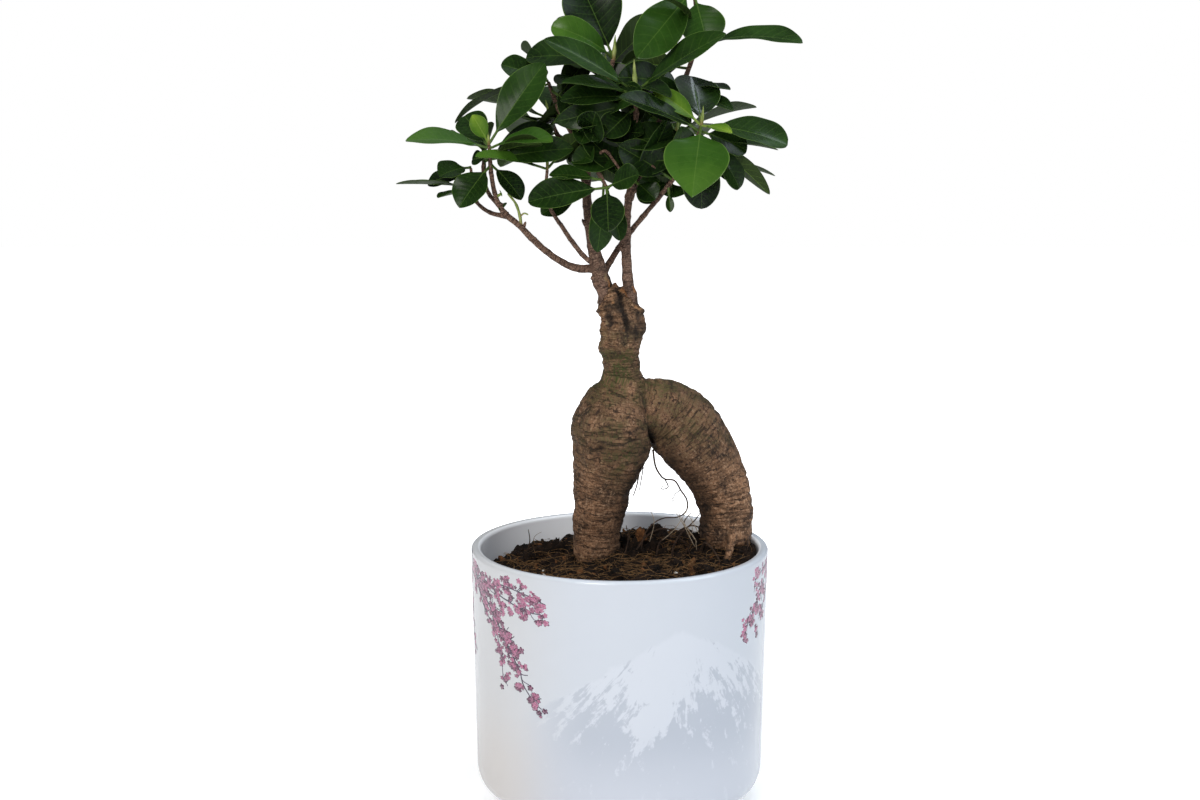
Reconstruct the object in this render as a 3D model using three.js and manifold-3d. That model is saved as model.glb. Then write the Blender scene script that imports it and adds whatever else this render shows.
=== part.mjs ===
// A fig tree grown as a small bonsai: a swollen two-legged rootstock stands in soil in a round ceramic pot,
// and two grafted stems carry the leafy branches. Millimetres, +Z up. Z is the pot's axis, Z 0 is the face
// that the pot stands on, and -Y is the tree's front.
import * as THREE from "three";
import { mergeVertices } from "three/addons/utils/BufferGeometryUtils.js";
import Module from "manifold-3d";

const wasm = await Module();
wasm.setup();

// Driving dimensions
const JOINT_GAP = 0.3; // clearance left between pieces that touch
const POT = {
  height: 125,
  rimRadius: 70,
  shoulderRadius: 68.25, // outside radius where the chamfer to the foot begins
  shoulderHeight: 16,
  footRadius: 49,
  wall: 4.5,
  floor: 8,
  rimRound: 1.8,
  cornerRound: 16, // radius of the inside corner between floor and wall
  segments: 56,
};
const SOIL = {
  level: 115, // height of the surface at the middle of the pot
  fallToLeft: 0.06, // how fast the surface drops towards -X
  rings: 5,
  sides: 36,
};
// Mounds of soil: place, height above the level, and spread
const MOUNDS = [
  { x: -10, y: 0, height: 5, spread: 24 },
  { x: 47, y: 4, height: 8, spread: 17 },
  { x: 14, y: -34, height: 4, spread: 26 },
];
const WOOD_SIDES = 8;
const LEG_SIDES = 16;
const LEAF = {
  petioleShare: 0.15, // share of a leaf's whole length that is its stalk
  petioleHalf: 0.65, // half the stalk's width
  halfThickness: 0.4,
  fold: 0.16, // how far the edges rise, as a share of the half width
  broadening: 0.75, // exponents of the blade's outline, towards the stalk and towards the tip
  narrowing: 0.55,
};

const materials = {
  glaze: new THREE.MeshStandardMaterial({ color: 0xe6e9ef, roughness: 0.25 }),
  soil: new THREE.MeshStandardMaterial({ color: 0x38261a, roughness: 0.95 }),
  bark: new THREE.MeshStandardMaterial({ color: 0x6f5b48, roughness: 0.85 }),
  twig: new THREE.MeshStandardMaterial({ color: 0x6b4c3d, roughness: 0.8 }),
  leaf: new THREE.MeshStandardMaterial({ color: 0x2f5f24, roughness: 0.4 }),
  youngLeaf: new THREE.MeshStandardMaterial({ color: 0x6f9a2e, roughness: 0.4 }),
};

const degrees = (angle) => (angle * Math.PI) / 180;
const vector = (point) => new THREE.Vector3(...point);

// Closed skin over a row of rings with the same number of points each, with a fan over both ends
function skin(rings) {
  const sides = rings[0].length;
  const points = rings.flat();
  const faces = [];
  for (let i = 0; i + 1 < rings.length; i++)
    for (let j = 0; j < sides; j++) {
      const [a, b] = [i * sides + j, i * sides + ((j + 1) % sides)];
      faces.push(a, b, b + sides, a, b + sides, a + sides);
    }
  for (const [ring, first] of [[rings[0], 0], [rings.at(-1), points.length - sides]]) {
    const middle = ring.reduce((sum, p) => sum.add(p), new THREE.Vector3()).divideScalar(sides);
    const hub = points.push(middle) - 1;
    for (let j = 0; j < sides; j++) {
      const [a, b] = [first + j, first + ((j + 1) % sides)];
      faces.push(...(first === 0 ? [hub, b, a] : [hub, a, b]));
    }
  }
  const geometry = new THREE.BufferGeometry().setFromPoints(points);
  geometry.setIndex(faces);
  return geometry;
}

// Round limb along a smooth line through knots [x, y, z, radius], grown on every side by extra
function limb(knots, sides, steps, extra = 0) {
  const line = new THREE.CatmullRomCurve3(knots.map((k) => vector(k.slice(0, 3))), false, "catmullrom");
  const frames = line.computeFrenetFrames(steps);
  const rings = [];
  for (let i = 0; i <= steps; i++) {
    const along = (line.getUtoTmapping(i / steps) || 0) * (knots.length - 1);
    const knot = Math.min(Math.floor(along), knots.length - 2);
    const radius = THREE.MathUtils.lerp(knots[knot][3], knots[knot + 1][3], along - knot) + extra;
    const centre = line.getPointAt(i / steps);
    rings.push(
      Array.from({ length: sides }, (_, j) => {
        const turn = (2 * Math.PI * j) / sides;
        return centre
          .clone()
          .addScaledVector(frames.normals[i], radius * Math.cos(turn))
          .addScaledVector(frames.binormals[i], radius * Math.sin(turn));
      }),
    );
  }
  return skin(rings);
}

// A geometry as a solid for joining and cutting
function solidOf(geometry) {
  const bare = geometry.clone();
  bare.deleteAttribute("normal");
  bare.deleteAttribute("uv");
  const merged = mergeVertices(bare, 1e-4);
  const vertProperties = merged.attributes.position.array;
  const triVerts = new Uint32Array(merged.index.array);
  return new wasm.Manifold(new wasm.Mesh({ numProp: 3, vertProperties, triVerts }));
}

function geometryOf(solid) {
  const mesh = solid.getMesh();
  const geometry = new THREE.BufferGeometry();
  geometry.setAttribute("position", new THREE.BufferAttribute(mesh.vertProperties, mesh.numProp));
  geometry.setIndex(new THREE.BufferAttribute(mesh.triVerts, 1));
  return geometry;
}

const joined = (solids) => solids.reduce((whole, solid) => whole.add(solid));

// Pot: a turned wall with a rounded rim, a chamfer to the foot and a flat underside

// Inside radius of the wall at a height
function boreRadius(height) {
  const { rimRadius, shoulderRadius, shoulderHeight, wall } = POT;
  const share = (height - shoulderHeight) / (POT.height - shoulderHeight);
  return THREE.MathUtils.lerp(shoulderRadius, rimRadius, share) - wall;
}

function potGeometry() {
  const { height, rimRadius, shoulderRadius, shoulderHeight, footRadius, floor, rimRound, cornerRound } = POT;
  const rimInner = boreRadius(height);
  const profile = new THREE.Path();
  profile.moveTo(0, 0);
  profile.lineTo(footRadius, 0);
  profile.lineTo(shoulderRadius - 2, shoulderHeight - 3);
  profile.quadraticCurveTo(shoulderRadius, shoulderHeight, shoulderRadius, shoulderHeight + 4);
  profile.lineTo(rimRadius, height - rimRound);
  profile.quadraticCurveTo(rimRadius, height, rimRadius - rimRound, height);
  profile.quadraticCurveTo(rimInner, height, rimInner, height - rimRound);
  profile.lineTo(boreRadius(floor + cornerRound), floor + cornerRound);
  profile.quadraticCurveTo(boreRadius(floor), floor, boreRadius(floor) - cornerRound, floor);
  profile.lineTo(0, floor);
  const turned = new THREE.LatheGeometry(profile.getPoints(3), POT.segments);
  turned.rotateX(Math.PI / 2);
  return turned;
}

// Rootstock: two swollen legs that meet under a short neck, and the right leg's side roots into the soil
const ROOTSTOCK = {
  leftLeg: [
    [2, 0, 199, 8],
    [-1, -1, 193, 15],
    [-2.8, -1, 184, 18.6],
    [-3.9, -1, 173, 18.4],
    [-6.8, 0, 160, 15.3],
    [-9, 1, 146, 13],
    [-10.4, 2, 132, 11.6],
    [-11, 3, 120, 10.8],
    [-11, 4, 108, 8.5],
    [-10, 4, 98, 4],
  ],
  rightLeg: [
    [4, 2, 193, 9],
    [14, 3, 190, 14.2],
    [24.5, 5, 185, 16.6],
    [34, 6, 175.5, 17.4],
    [42, 7, 164.5, 15.8],
    [47.3, 7, 152.5, 13.9],
    [50.4, 6, 139, 12.7],
    [50.8, 5, 127, 12.4],
    [49, 5, 114, 10.5],
    [46, 5, 100, 5],
  ],
  neck: [
    [3, 0.5, 190, 15],
    [1.6, 0.5, 200, 10.6],
    [1, 0, 207, 9],
    [0.7, 0, 216, 8.6],
    [0.6, 0, 225, 9.4],
    [0.4, 0, 233, 9.3],
    [-1.6, 0, 240, 7.8],
    [-3.4, 0, 246, 5.4],
  ],
};
const SIDE_ROOTS = [
  [[52, 0, 138, 3], [53, -7, 131, 2.4], [51, -12, 124, 2], [48, -15, 115, 1.4]],
  [[56, 10, 132, 3.2], [59, 14, 124, 2.6], [58, 17, 114, 1.8]],
  [[45, 14, 131, 3.2], [40, 22, 123, 2.6], [34, 29, 113, 1.8]],
];
const LEG_STEPS = 15;
const ROOT_STEPS = 4;

function rootstockSolid(extra) {
  const legs = Object.values(ROOTSTOCK).map((knots) => solidOf(limb(knots, LEG_SIDES, LEG_STEPS, extra)));
  const roots = SIDE_ROOTS.map((knots) => solidOf(limb(knots, WOOD_SIDES, ROOT_STEPS, extra)));
  return joined([...legs, ...roots]);
}

// Soil: fills the pot up to a mounded surface, with a pocket for each leg and root

function soilHeight(x, y) {
  const mounds = MOUNDS.map((m) => m.height * Math.exp(-((x - m.x) ** 2 + (y - m.y) ** 2) / m.spread ** 2));
  return SOIL.level + SOIL.fallToLeft * x + mounds.reduce((a, b) => a + b);
}

function soilSolid() {
  const bottom = POT.floor + JOINT_GAP;
  const narrow = boreRadius(bottom) - POT.cornerRound;
  const edge = (height) => boreRadius(height) - JOINT_GAP - 0.2;
  const circle = (radius, heightAt) =>
    Array.from({ length: SOIL.sides }, (_, j) => {
      const turn = (2 * Math.PI * j) / SOIL.sides;
      const [x, y] = [radius * Math.cos(turn), radius * Math.sin(turn)];
      return new THREE.Vector3(x, y, heightAt(x, y));
    });
  const wallFoot = POT.floor + POT.cornerRound;
  const surfaceRadius = edge(SOIL.level - 5);
  const rings = [circle(narrow, () => bottom), circle(edge(wallFoot), () => wallFoot)];
  for (let i = SOIL.rings; i > 0; i--) rings.push(circle((surfaceRadius * i) / SOIL.rings, soilHeight));
  return solidOf(skin(rings)).subtract(rootstockSolid(JOINT_GAP));
}

// Wood above the rootstock: each limb starts inside its parent and is trimmed to the parent's surface
const LIMBS = {
  left_stem: {
    parent: "rootstock",
    lines: [
      [
        [-5.5, 0, 240, 4.6],
        [-8.2, 0, 248, 4.2],
        [-10.2, 0.5, 256, 3.4],
        [-12.5, 1, 266, 2.7],
        [-14.6, 2, 280, 2.2],
        [-15.4, 3, 292, 2],
        [-14.5, 4, 304, 1.7],
        [-11, 5, 320, 1.5],
        [-6.5, 6, 336, 1.3],
        [-3, 6, 350, 1],
      ],
    ],
  },
  right_stem: {
    parent: "rootstock",
    lines: [
      [
        [5.4, -1.5, 233, 4.4],
        [4.6, -1.5, 241, 3.3],
        [3.3, -1, 254, 2.4],
        [2.8, -1, 268, 2.3],
        [3, -1, 279, 2],
        [4.6, -1, 290, 1.7],
        [6.2, -2, 305, 1.5],
        [7, -5, 321, 1.2],
        [6.6, -9, 334, 1],
      ],
    ],
  },
  long_left_branch: {
    parent: "left_stem",
    lines: [
      [
        [-9, 1, 255, 2],
        [-14, 1, 254.6, 1.9],
        [-20.7, 0, 255, 1.8],
        [-28, -2, 258.6, 1.6],
        [-37, -4, 265.5, 1.5],
        [-46, -6, 274.6, 1.4],
        [-52.8, -7, 280.6, 1.3],
        [-56.5, -8, 288, 1.1],
        [-58.3, -9, 299, 1],
        [-59, -9.5, 311, 0.8],
      ],
      [
        [-51, -6.8, 279, 1.1],
        [-57, -5, 279.6, 1],
        [-63, -2, 282.5, 0.9],
        [-67, 1, 288, 0.8],
        [-68.5, 3, 301, 0.7],
      ],
      [
        [-54, -7.4, 283, 1],
        [-60, -2, 289, 0.9],
        [-63, 6, 298, 0.8],
        [-63, 13, 309, 0.7],
      ],
    ],
  },
  inner_left_branch: {
    parent: "left_stem",
    lines: [
      [
        [-9.8, 0, 256, 1.3],
        [-15.5, -1.5, 259.5, 1.2],
        [-20.7, -3, 265.5, 1.1],
        [-26.5, -5, 274, 1],
        [-31, -7, 281, 0.9],
        [-33.5, -8, 289, 0.8],
        [-33, -8, 300, 0.7],
      ],
    ],
  },
  upper_left_branch: {
    parent: "left_stem",
    lines: [
      [
        [-14.5, 4, 301, 1.4],
        [-20, 6, 313, 1.3],
        [-28, 8, 327, 1.1],
        [-33, 7, 340, 0.8],
      ],
    ],
  },
  cross_branch: {
    parent: "left_stem",
    lines: [
      [
        [-9.2, 1.5, 250, 1.7],
        [-4.5, 5, 257.5, 1.5],
        [0, 6, 264.5, 1.4],
        [5, 6, 271.5, 1.3],
        [12, 5, 280, 1.2],
        [19, 3, 288.5, 1.1],
        [27, -2, 299, 1],
        [33, -8, 309, 0.9],
        [36, -13, 319, 0.8],
      ],
      [
        [17, 3.4, 286.5, 0.9],
        [22, 9, 293, 0.8],
        [27, 14, 301, 0.7],
      ],
    ],
  },
  right_top_branch: {
    parent: "right_stem",
    lines: [
      [
        [5.6, -1.6, 298, 1.4],
        [12, 5, 311, 1.3],
        [21, 9, 327, 1.1],
        [31, 10, 344, 1.1],
        [35, 7, 362, 1],
        [33, 1, 380, 0.8],
      ],
    ],
  },
  back_left_branch: {
    parent: "left_stem",
    lines: [
      [
        [-15.2, 3.2, 294, 1.5],
        [-21, 13, 304, 1.3],
        [-28, 24, 314, 1.1],
        [-33, 33, 325, 0.8],
      ],
    ],
  },
  back_top_branch: {
    parent: "left_stem",
    lines: [
      [
        [-10.5, 5.2, 322, 1.3],
        [-9, 16, 333, 1.1],
        [-7, 26, 346, 0.8],
      ],
    ],
  },
  back_right_branch: {
    parent: "right_stem",
    lines: [
      [
        [4.2, -1, 287, 1.5],
        [9, 11, 297, 1.3],
        [18, 23, 307, 1.1],
        [27, 33, 318, 0.8],
      ],
    ],
  },
  front_twig: {
    parent: "left_stem",
    lines: [
      [
        [-14.6, 4, 302, 0.9],
        [-12, -4, 300.5, 0.8],
        [-9, -11, 297, 0.8],
        [-6.2, -17, 291.5, 0.7],
      ],
    ],
  },
};
const LIMB_STEPS = 14;
const TWIG_STEPS = 6;

// One limb with its side twigs, grown on every side by extra
function limbSolid({ lines }, extra) {
  const solids = lines.map((knots) =>
    solidOf(limb(knots, WOOD_SIDES, knots.length > 5 ? LIMB_STEPS : TWIG_STEPS, extra)),
  );
  return joined(solids);
}

// Leaves. Each row is one leaf:
// [limb, its line, place along it 0 to 1, tip x, tip y, tip z, width, arch, heading, rise]
// Arch is the angle that it bends through from stalk to tip. Its upper face looks towards heading, the angle
// in plan from +X, and rise, the angle above the horizon.
const LEAVES = {
  leaf_left_1: ["long_left_branch", 0, 0.98, -96, -14, 312, 16, 26, -90, 62],
  leaf_left_2: ["long_left_branch", 0, 1, -34, -3, 347, 18, 14, -100, 22],
  leaf_left_3: ["long_left_branch", 0, 0.98, -30, -18, 311.5, 14, 44, -90, 58],
  leaf_left_4: ["long_left_branch", 0, 0.98, -71, 2, 324, 15, 20, -90, 20],
  leaf_left_5: ["long_left_branch", 0, 0.9, -44.5, -13, 286, 12, 25, -60, 30],
  leaf_left_6: ["long_left_branch", 0, 0.89, -72, -17, 282.5, 17, 20, -100, 40],
  leaf_left_7: ["long_left_branch", 0, 0.92, -21, -8, 309, 14, 15, -90, 30],
  leaf_left_8: ["long_left_branch", 1, 1, -82, -5, 296.5, 15, 30, -100, 50],
  leaf_left_9: ["long_left_branch", 1, 0.75, -102, -4, 293.3, 12, 8, 90, 89],
  leaf_left_10: ["long_left_branch", 2, 1, -78, 30, 316, 17, 30, 120, 60],
  leaf_inner_1: ["inner_left_branch", 0, 1, -18, -3, 315, 11, 14, 90, 40],
  leaf_upper_1: ["upper_left_branch", 0, 1, -54, 0, 346.5, 13, 22, -90, 30],
  leaf_upper_2: ["upper_left_branch", 0, 0.97, -76, 8, 321, 12, 50, 90, 85],
  leaf_upper_3: ["upper_left_branch", 0, 0.98, -46, 24, 356, 17, 25, 120, 45],
  leaf_front_1: ["front_twig", 0, 1, -41, -22, 285, 17, 16, -90, 40],
  leaf_front_2: ["front_twig", 0, 0.8, -32, -13, 297, 13, 18, -90, 60],
  leaf_front_3: ["front_twig", 0, 1, 8, -25, 297, 13, 22, -80, 30],
  leaf_front_4: ["front_twig", 0, 1, -5.5, -32, 272, 15, 30, -90, 50],
  leaf_front_5: ["front_twig", 0, 0.86, -10.5, -11, 262.5, 12, 18, -70, 30],
  leaf_crown_1: ["right_stem", 0, 1, -34, -16, 356, 16, 16, -90, 50],
  leaf_crown_2: ["right_stem", 0, 1, 46, -20, 358, 18, 14, -95, 55],
  leaf_crown_3: ["cross_branch", 0, 0.97, -1, -29, 330, 17, 18, -90, 38],
  leaf_crown_4: ["right_stem", 0, 0.99, -26, -20, 337, 13, 16, -90, 62],
  leaf_crown_5: ["right_stem", 0, 0.97, -27, -10, 330, 15, 26, -90, 45],
  leaf_crown_6: ["right_top_branch", 0, 1, 7, -14, 348, 20, 20, -90, 5],
  leaf_top_1: ["left_stem", 0, 1, -20, 8, 387, 28, 12, -80, 15],
  leaf_top_2: ["left_stem", 0, 1, -31, -4, 363, 14, 70, -90, 20],
  leaf_top_3: ["left_stem", 0, 0.98, -43, 6, 350, 18, 34, -90, 40],
  leaf_top_4: ["right_top_branch", 0, 0.97, 39, -6, 354, 20, 24, -90, 5],
  leaf_top_5: ["right_top_branch", 0, 0.73, 81, -10, 355, 17, 34, -90, 60],
  leaf_top_6: ["right_top_branch", 0, 1, 52, 14, 400, 18, 20, -60, 30],
  leaf_right_1: ["cross_branch", 0, 1, 31, -31, 287, 29, 20, -95, 20],
  leaf_right_2: ["cross_branch", 0, 1, 74, -18, 310, 20, 26, -90, 55],
  leaf_right_3: ["cross_branch", 0, 1, 15, -8, 334, 9, 34, -90, 45],
  leaf_right_4: ["cross_branch", 0, 1, 32, 5, 342, 23, 16, -85, 40],
  leaf_right_5: ["cross_branch", 0, 0.93, 0, -9, 312, 16, 14, -90, 35],
  leaf_right_6: ["cross_branch", 0, 0.96, 54, -6, 291, 13, 40, -70, 30],
  leaf_right_7: ["cross_branch", 1, 1, 72, 8, 297, 14, 34, 90, 88],
  leaf_right_8: ["cross_branch", 1, 1, 9, 21, 286, 15, 20, -90, 30],
  leaf_back_1: ["back_left_branch", 0, 1, -52, 68, 318, 20, 30, 120, 55],
  leaf_back_2: ["back_left_branch", 0, 0.98, -73, 36, 334, 19, 26, 150, 60],
  leaf_back_3: ["back_top_branch", 0, 1, -10, 68, 358, 21, 28, 90, 50],
  leaf_back_4: ["back_top_branch", 0, 1, 20, 46, 372, 18, 22, 60, 40],
  leaf_back_5: ["back_right_branch", 0, 1, 42, 70, 318, 20, 30, 70, 55],
  leaf_back_6: ["back_right_branch", 0, 0.98, 66, 36, 330, 19, 26, 20, 60],
  leaf_back_7: ["back_right_branch", 0, 1, 14, 58, 340, 18, 22, 100, 50],
};
const YOUNG_LEAVES = ["leaf_right_3"];
const LEAF_STEPS = 9;

// Half width of a leaf at a place 0 to 1 along its whole length
function leafHalf(place, width) {
  const { petioleShare, petioleHalf, broadening, narrowing } = LEAF;
  const blade = Math.max(0, (place - petioleShare) / (1 - petioleShare));
  const outline = (x) => x ** broadening * (1 - x) ** narrowing;
  const widest = broadening / (broadening + narrowing);
  return Math.max(petioleHalf * (1 - place), ((width / 2) * outline(blade)) / outline(widest));
}

// A leaf bends along an arc from its stalk to its tip, and its section is a flat diamond with raised edges
function leafGeometry([limbName, lineIndex, share, tipX, tipY, tipZ, width, arch, heading, rise]) {
  const knots = LIMBS[limbName].lines[lineIndex];
  const line = new THREE.CatmullRomCurve3(knots.map((k) => vector(k.slice(0, 3))), false, "catmullrom");
  const onWood = line.getPointAt(share);
  const tip = new THREE.Vector3(tipX, tipY, tipZ);
  const toTip = tip.clone().sub(onWood).normalize();
  const base = onWood.addScaledVector(toTip, knots.at(-1)[3] + 2 * JOINT_GAP + 5 * (1 - share));
  const along = tip.clone().sub(base).normalize();
  const length = tip.distanceTo(base);
  const facing = new THREE.Vector3().setFromSphericalCoords(1, degrees(90 - rise), degrees(heading));
  facing.set(facing.z, facing.x, facing.y);
  const side = along.clone().cross(facing).normalize();
  const up = side.clone().cross(along);
  const bend = degrees(arch);
  const size = length / (2 * Math.sin(bend / 2));
  const rings = [];
  for (let i = 0; i <= LEAF_STEPS; i++) {
    const turn = bend * (0.5 - i / LEAF_STEPS);
    const middle = base
      .clone()
      .addScaledVector(along, size * (Math.sin(bend / 2) - Math.sin(turn)))
      .addScaledVector(up, size * (Math.cos(turn) - Math.cos(bend / 2)));
    const normal = up.clone().multiplyScalar(Math.cos(turn)).addScaledVector(along, -Math.sin(turn));
    const half = Math.max(leafHalf(i / LEAF_STEPS, width), 0.15);
    const thick = LEAF.halfThickness * (i === LEAF_STEPS ? 0.3 : 1);
    const at = (across, above) => middle.clone().addScaledVector(side, across).addScaledVector(normal, above);
    const lift = LEAF.fold * half;
    rings.push([at(half, lift), at(0, -thick), at(-half, lift), at(0, thick)]);
  }
  return skin(rings);
}

const tree = new THREE.Group();

function place(name, geometry, material) {
  const mesh = new THREE.Mesh(geometry, material);
  mesh.name = name;
  tree.add(mesh);
}

place("pot", potGeometry(), materials.glaze);
place("soil", geometryOf(soilSolid()), materials.soil);

// The two stems sit in sockets in the rootstock, and every other limb is trimmed to its stem
const stems = Object.keys(LIMBS).filter((name) => LIMBS[name].parent === "rootstock");
const grown = Object.fromEntries(stems.map((name) => [name, limbSolid(LIMBS[name], JOINT_GAP)]));
const sockets = joined(Object.values(grown));
place("rootstock", geometryOf(rootstockSolid(0).subtract(sockets)), materials.bark);
for (const [name, spec] of Object.entries(LIMBS)) {
  const whole = limbSolid(spec, 0);
  const limbPart = stems.includes(name) ? whole : whole.subtract(grown[spec.parent]);
  place(name, geometryOf(limbPart), materials.twig);
}
for (const [name, row] of Object.entries(LEAVES)) {
  const age = YOUNG_LEAVES.includes(name) ? "youngLeaf" : "leaf";
  place(name, leafGeometry(row), materials[age]);
}

export default tree;
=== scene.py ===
# A fig tree grown as a small bonsai in a round ceramic pot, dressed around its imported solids.
# The scene is in metres and the tables are in millimetres. -Y is the tree's front.
import math

import bpy
import numpy as np
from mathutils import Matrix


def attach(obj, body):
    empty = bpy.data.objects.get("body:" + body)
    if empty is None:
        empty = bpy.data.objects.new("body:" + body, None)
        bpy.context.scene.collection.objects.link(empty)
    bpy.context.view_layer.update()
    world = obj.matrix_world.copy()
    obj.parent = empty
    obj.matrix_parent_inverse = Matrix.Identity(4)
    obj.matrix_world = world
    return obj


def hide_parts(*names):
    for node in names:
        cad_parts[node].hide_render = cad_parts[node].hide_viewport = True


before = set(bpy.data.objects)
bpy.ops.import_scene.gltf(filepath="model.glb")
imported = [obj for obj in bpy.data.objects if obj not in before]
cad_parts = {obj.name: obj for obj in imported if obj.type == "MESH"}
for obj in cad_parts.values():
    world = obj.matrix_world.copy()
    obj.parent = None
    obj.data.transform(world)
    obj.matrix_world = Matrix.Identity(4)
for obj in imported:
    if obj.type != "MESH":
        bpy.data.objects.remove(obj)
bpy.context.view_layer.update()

scene = bpy.context.scene
mm = 0.001
up3 = np.array([0.0, 0.0, 1.0])


# Shapes from numpy grids

def unit(vectors):
    return vectors / np.linalg.norm(vectors, axis=-1, keepdims=True)


# Eased share of the way from low to high: 3t^2 - 2t^3
def ease(value, low, high):
    t = np.clip((value - low) / (high - low), 0, 1)
    return t * t * (3 - 2 * t)


# Bell round zero, 1 at the middle: e to the minus (distance over width) squared
def bell(distance, width):
    return np.exp(-((distance / width) ** 2))


# Angles of the points round one section
def roundAngles(count):
    return np.linspace(0, 2 * np.pi, count, endpoint=False)


# Smooth noise from -1 to 1: every cell corner has a fixed random value, and the eight corners are blended
# by the point's eased share of the way across its cell
def softNoise(points, size, seed=0):
    spreads = np.array([73856093, 19349663, 83492791])  # large primes that spread the cells' numbers
    at = np.asarray(points, float) / size
    cell = np.floor(at).astype(np.int64)
    share = at - cell
    share = share * share * (3 - 2 * share)
    total = np.zeros(at.shape[:-1])
    for corner in range(8):
        step = np.array([corner & 1, corner >> 1 & 1, corner >> 2 & 1])
        key = (cell + step) @ spreads + seed * 2654435
        key = ((key ^ (key >> 13)) & 0xFFFFFFFF) * 1274126177
        value = ((key ^ (key >> 16)) & 65535) / 32767.5 - 1
        total += value * np.where(step == 1, share, 1 - share).prod(-1)
    return total


# Noise with finer and weaker layers on top, each half the size and half the height of the one before
def layeredNoise(points, size, seed=0, layers=3):
    return sum(softNoise(points, size / 2**i, seed + 7 * i) / 2**i for i in range(layers))


# Smooth line through knots (x, y, z and any more columns): Catmull-Rom spans with the two end knots
# mirrored outwards, read at equal steps of length. Gives the rows and the whole length.
def smoothPath(knots, rows):
    knots = np.asarray(knots, float)
    ends = np.vstack([2 * knots[0] - knots[1], knots, 2 * knots[-1] - knots[-2]])
    along = np.linspace(0, len(knots) - 1, 40 * len(knots))
    span = np.minimum(along.astype(int), len(knots) - 2)
    f = (along - span)[:, None]
    a, b, c, d = (ends[span + i] for i in range(4))
    line = b + 0.5 * f * (c - a + f * (2 * a - 5 * b + 4 * c - d + f * (3 * b - a - 3 * c + d)))
    run = np.append(0, np.cumsum(np.linalg.norm(np.diff(line[:, :3], axis=0), axis=1)))
    wanted = np.linspace(0, run[-1], rows)
    return np.stack([np.interp(wanted, run, column) for column in line.T], 1), run[-1]


# Two directions square to a path and to each other: the first also square to the axis it keeps clear of most
def framesAlong(centre):
    tangent = unit(np.gradient(centre, axis=0))
    clear = np.eye(3)[np.abs(tangent).max(0).argmin()]
    side = unit(np.cross(tangent, clear))
    return side, np.cross(tangent, side)


# Round section carried along a smooth line of knots (x, y, z, radius), with a rounded far end.
# shape(radius, run, angle) may change the radius. Gives the grid and its flow: where each point lies in its
# own section and how far along the limb, so that a pattern can follow the wood.
def tube(knots, step, columns, shape=None):
    length = smoothPath(knots, 2)[1]
    rows = max(8, int(length / step))
    path = smoothPath(knots, rows)[0]
    side, other = framesAlong(path[:, :3])
    angle = roundAngles(columns)
    run = np.linspace(0, length, rows)[:, None]
    radius = path[:, 3:4] * np.ones(columns)
    if shape is not None:
        radius = shape(radius, run, angle[None])
    ending = np.clip((run - length + path[-1, 3]) / path[-1, 3], 0, 0.995)
    radius = radius * np.sqrt(1 - ending**2)
    local = np.stack([radius * np.cos(angle), radius * np.sin(angle)], -1)
    grid = path[:, None, :3] + local[..., :1] * side[:, None] + local[..., 1:] * other[:, None]
    flow = np.concatenate([local, np.broadcast_to(run[..., None], radius.shape + (1,))], -1)
    return grid, flow


# Closed skin over grids of shape (bodies, rows, columns, 3): columns wrap round, and each end is closed to a
# pole at the middle of its row. Gives points and the quads and triangles over them, faces outwards.
def skin(grids):
    bodies, rows, columns, width = grids.shape
    poles = grids[:, [0, -1]].mean(2)
    points = np.concatenate([grids.reshape(bodies, rows * columns, width), poles], 1)
    row, column = np.meshgrid(np.arange(rows - 1), np.arange(columns), indexing="ij")
    a, b = row * columns + column, row * columns + (column + 1) % columns
    quads = np.stack([a, b, b + columns, a + columns], -1).reshape(-1, 4)
    edge, after = np.arange(columns), (np.arange(columns) + 1) % columns
    last = (rows - 1) * columns
    first = np.stack([after, edge, np.full(columns, last + columns)], 1)
    final = np.stack([last + edge, last + after, np.full(columns, last + columns + 1)], 1)
    offset = (np.arange(bodies) * points.shape[1])[:, None, None]
    quads = (quads[None] + offset).reshape(-1, 4)
    triangles = (np.vstack([first, final])[None] + offset).reshape(-1, 3)
    return points.reshape(-1, width), quads, triangles


# Skins of several grids as one: points with their extra columns, quads, triangles
def joinSkins(parts):
    points, quads, triangles, count = [], [], [], 0
    for part in parts:
        points.append(part[0])
        quads.append(part[1] + count)
        triangles.append(part[2] + count)
        count += len(part[0])
    return np.concatenate(points), np.concatenate(quads), np.concatenate(triangles)


# Mesh from points in millimetres
def meshFrom(name, points, quads, triangles):
    mesh = bpy.data.meshes.new(name)
    corners = np.concatenate([quads.ravel(), triangles.ravel()]).astype(np.int32)
    starts = np.concatenate([4 * np.arange(len(quads)), 4 * len(quads) + 3 * np.arange(len(triangles))])
    mesh.vertices.add(len(points))
    mesh.loops.add(len(corners))
    mesh.polygons.add(len(starts))
    mesh.vertices.foreach_set("co", (points[:, :3] * mm).astype(np.float32).ravel())
    mesh.loops.foreach_set("vertex_index", corners)
    mesh.polygons.foreach_set("loop_start", starts.astype(np.int32))
    mesh.update(calc_edges=True)
    mesh.validate()
    mesh.shade_smooth()
    return mesh


# Finished piece: its vector attributes, its material, the CAD nodes it stands for, and its body
def addPiece(name, mesh, material, attributes=None, stands=()):
    for key, values in (attributes or {}).items():
        layer = mesh.attributes.new(key, "FLOAT_VECTOR", "POINT")
        layer.data.foreach_set("vector", values.astype(np.float32).ravel())
    piece = bpy.data.objects.new(name, mesh)
    scene.collection.objects.link(piece)
    mesh.materials.append(material)
    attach(piece, "root")
    if stands:
        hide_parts(*stands)


# Piece from a skin whose points carry three further columns for each of its attributes
def addSkin(name, body, material, columns=(), stands=()):
    points, quads, triangles = body
    attributes = {key: points[:, 3 * i + 3 : 3 * i + 6] for i, key in enumerate(columns)}
    addPiece(name, meshFrom(name, points, quads, triangles), material, attributes, stands)


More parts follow.
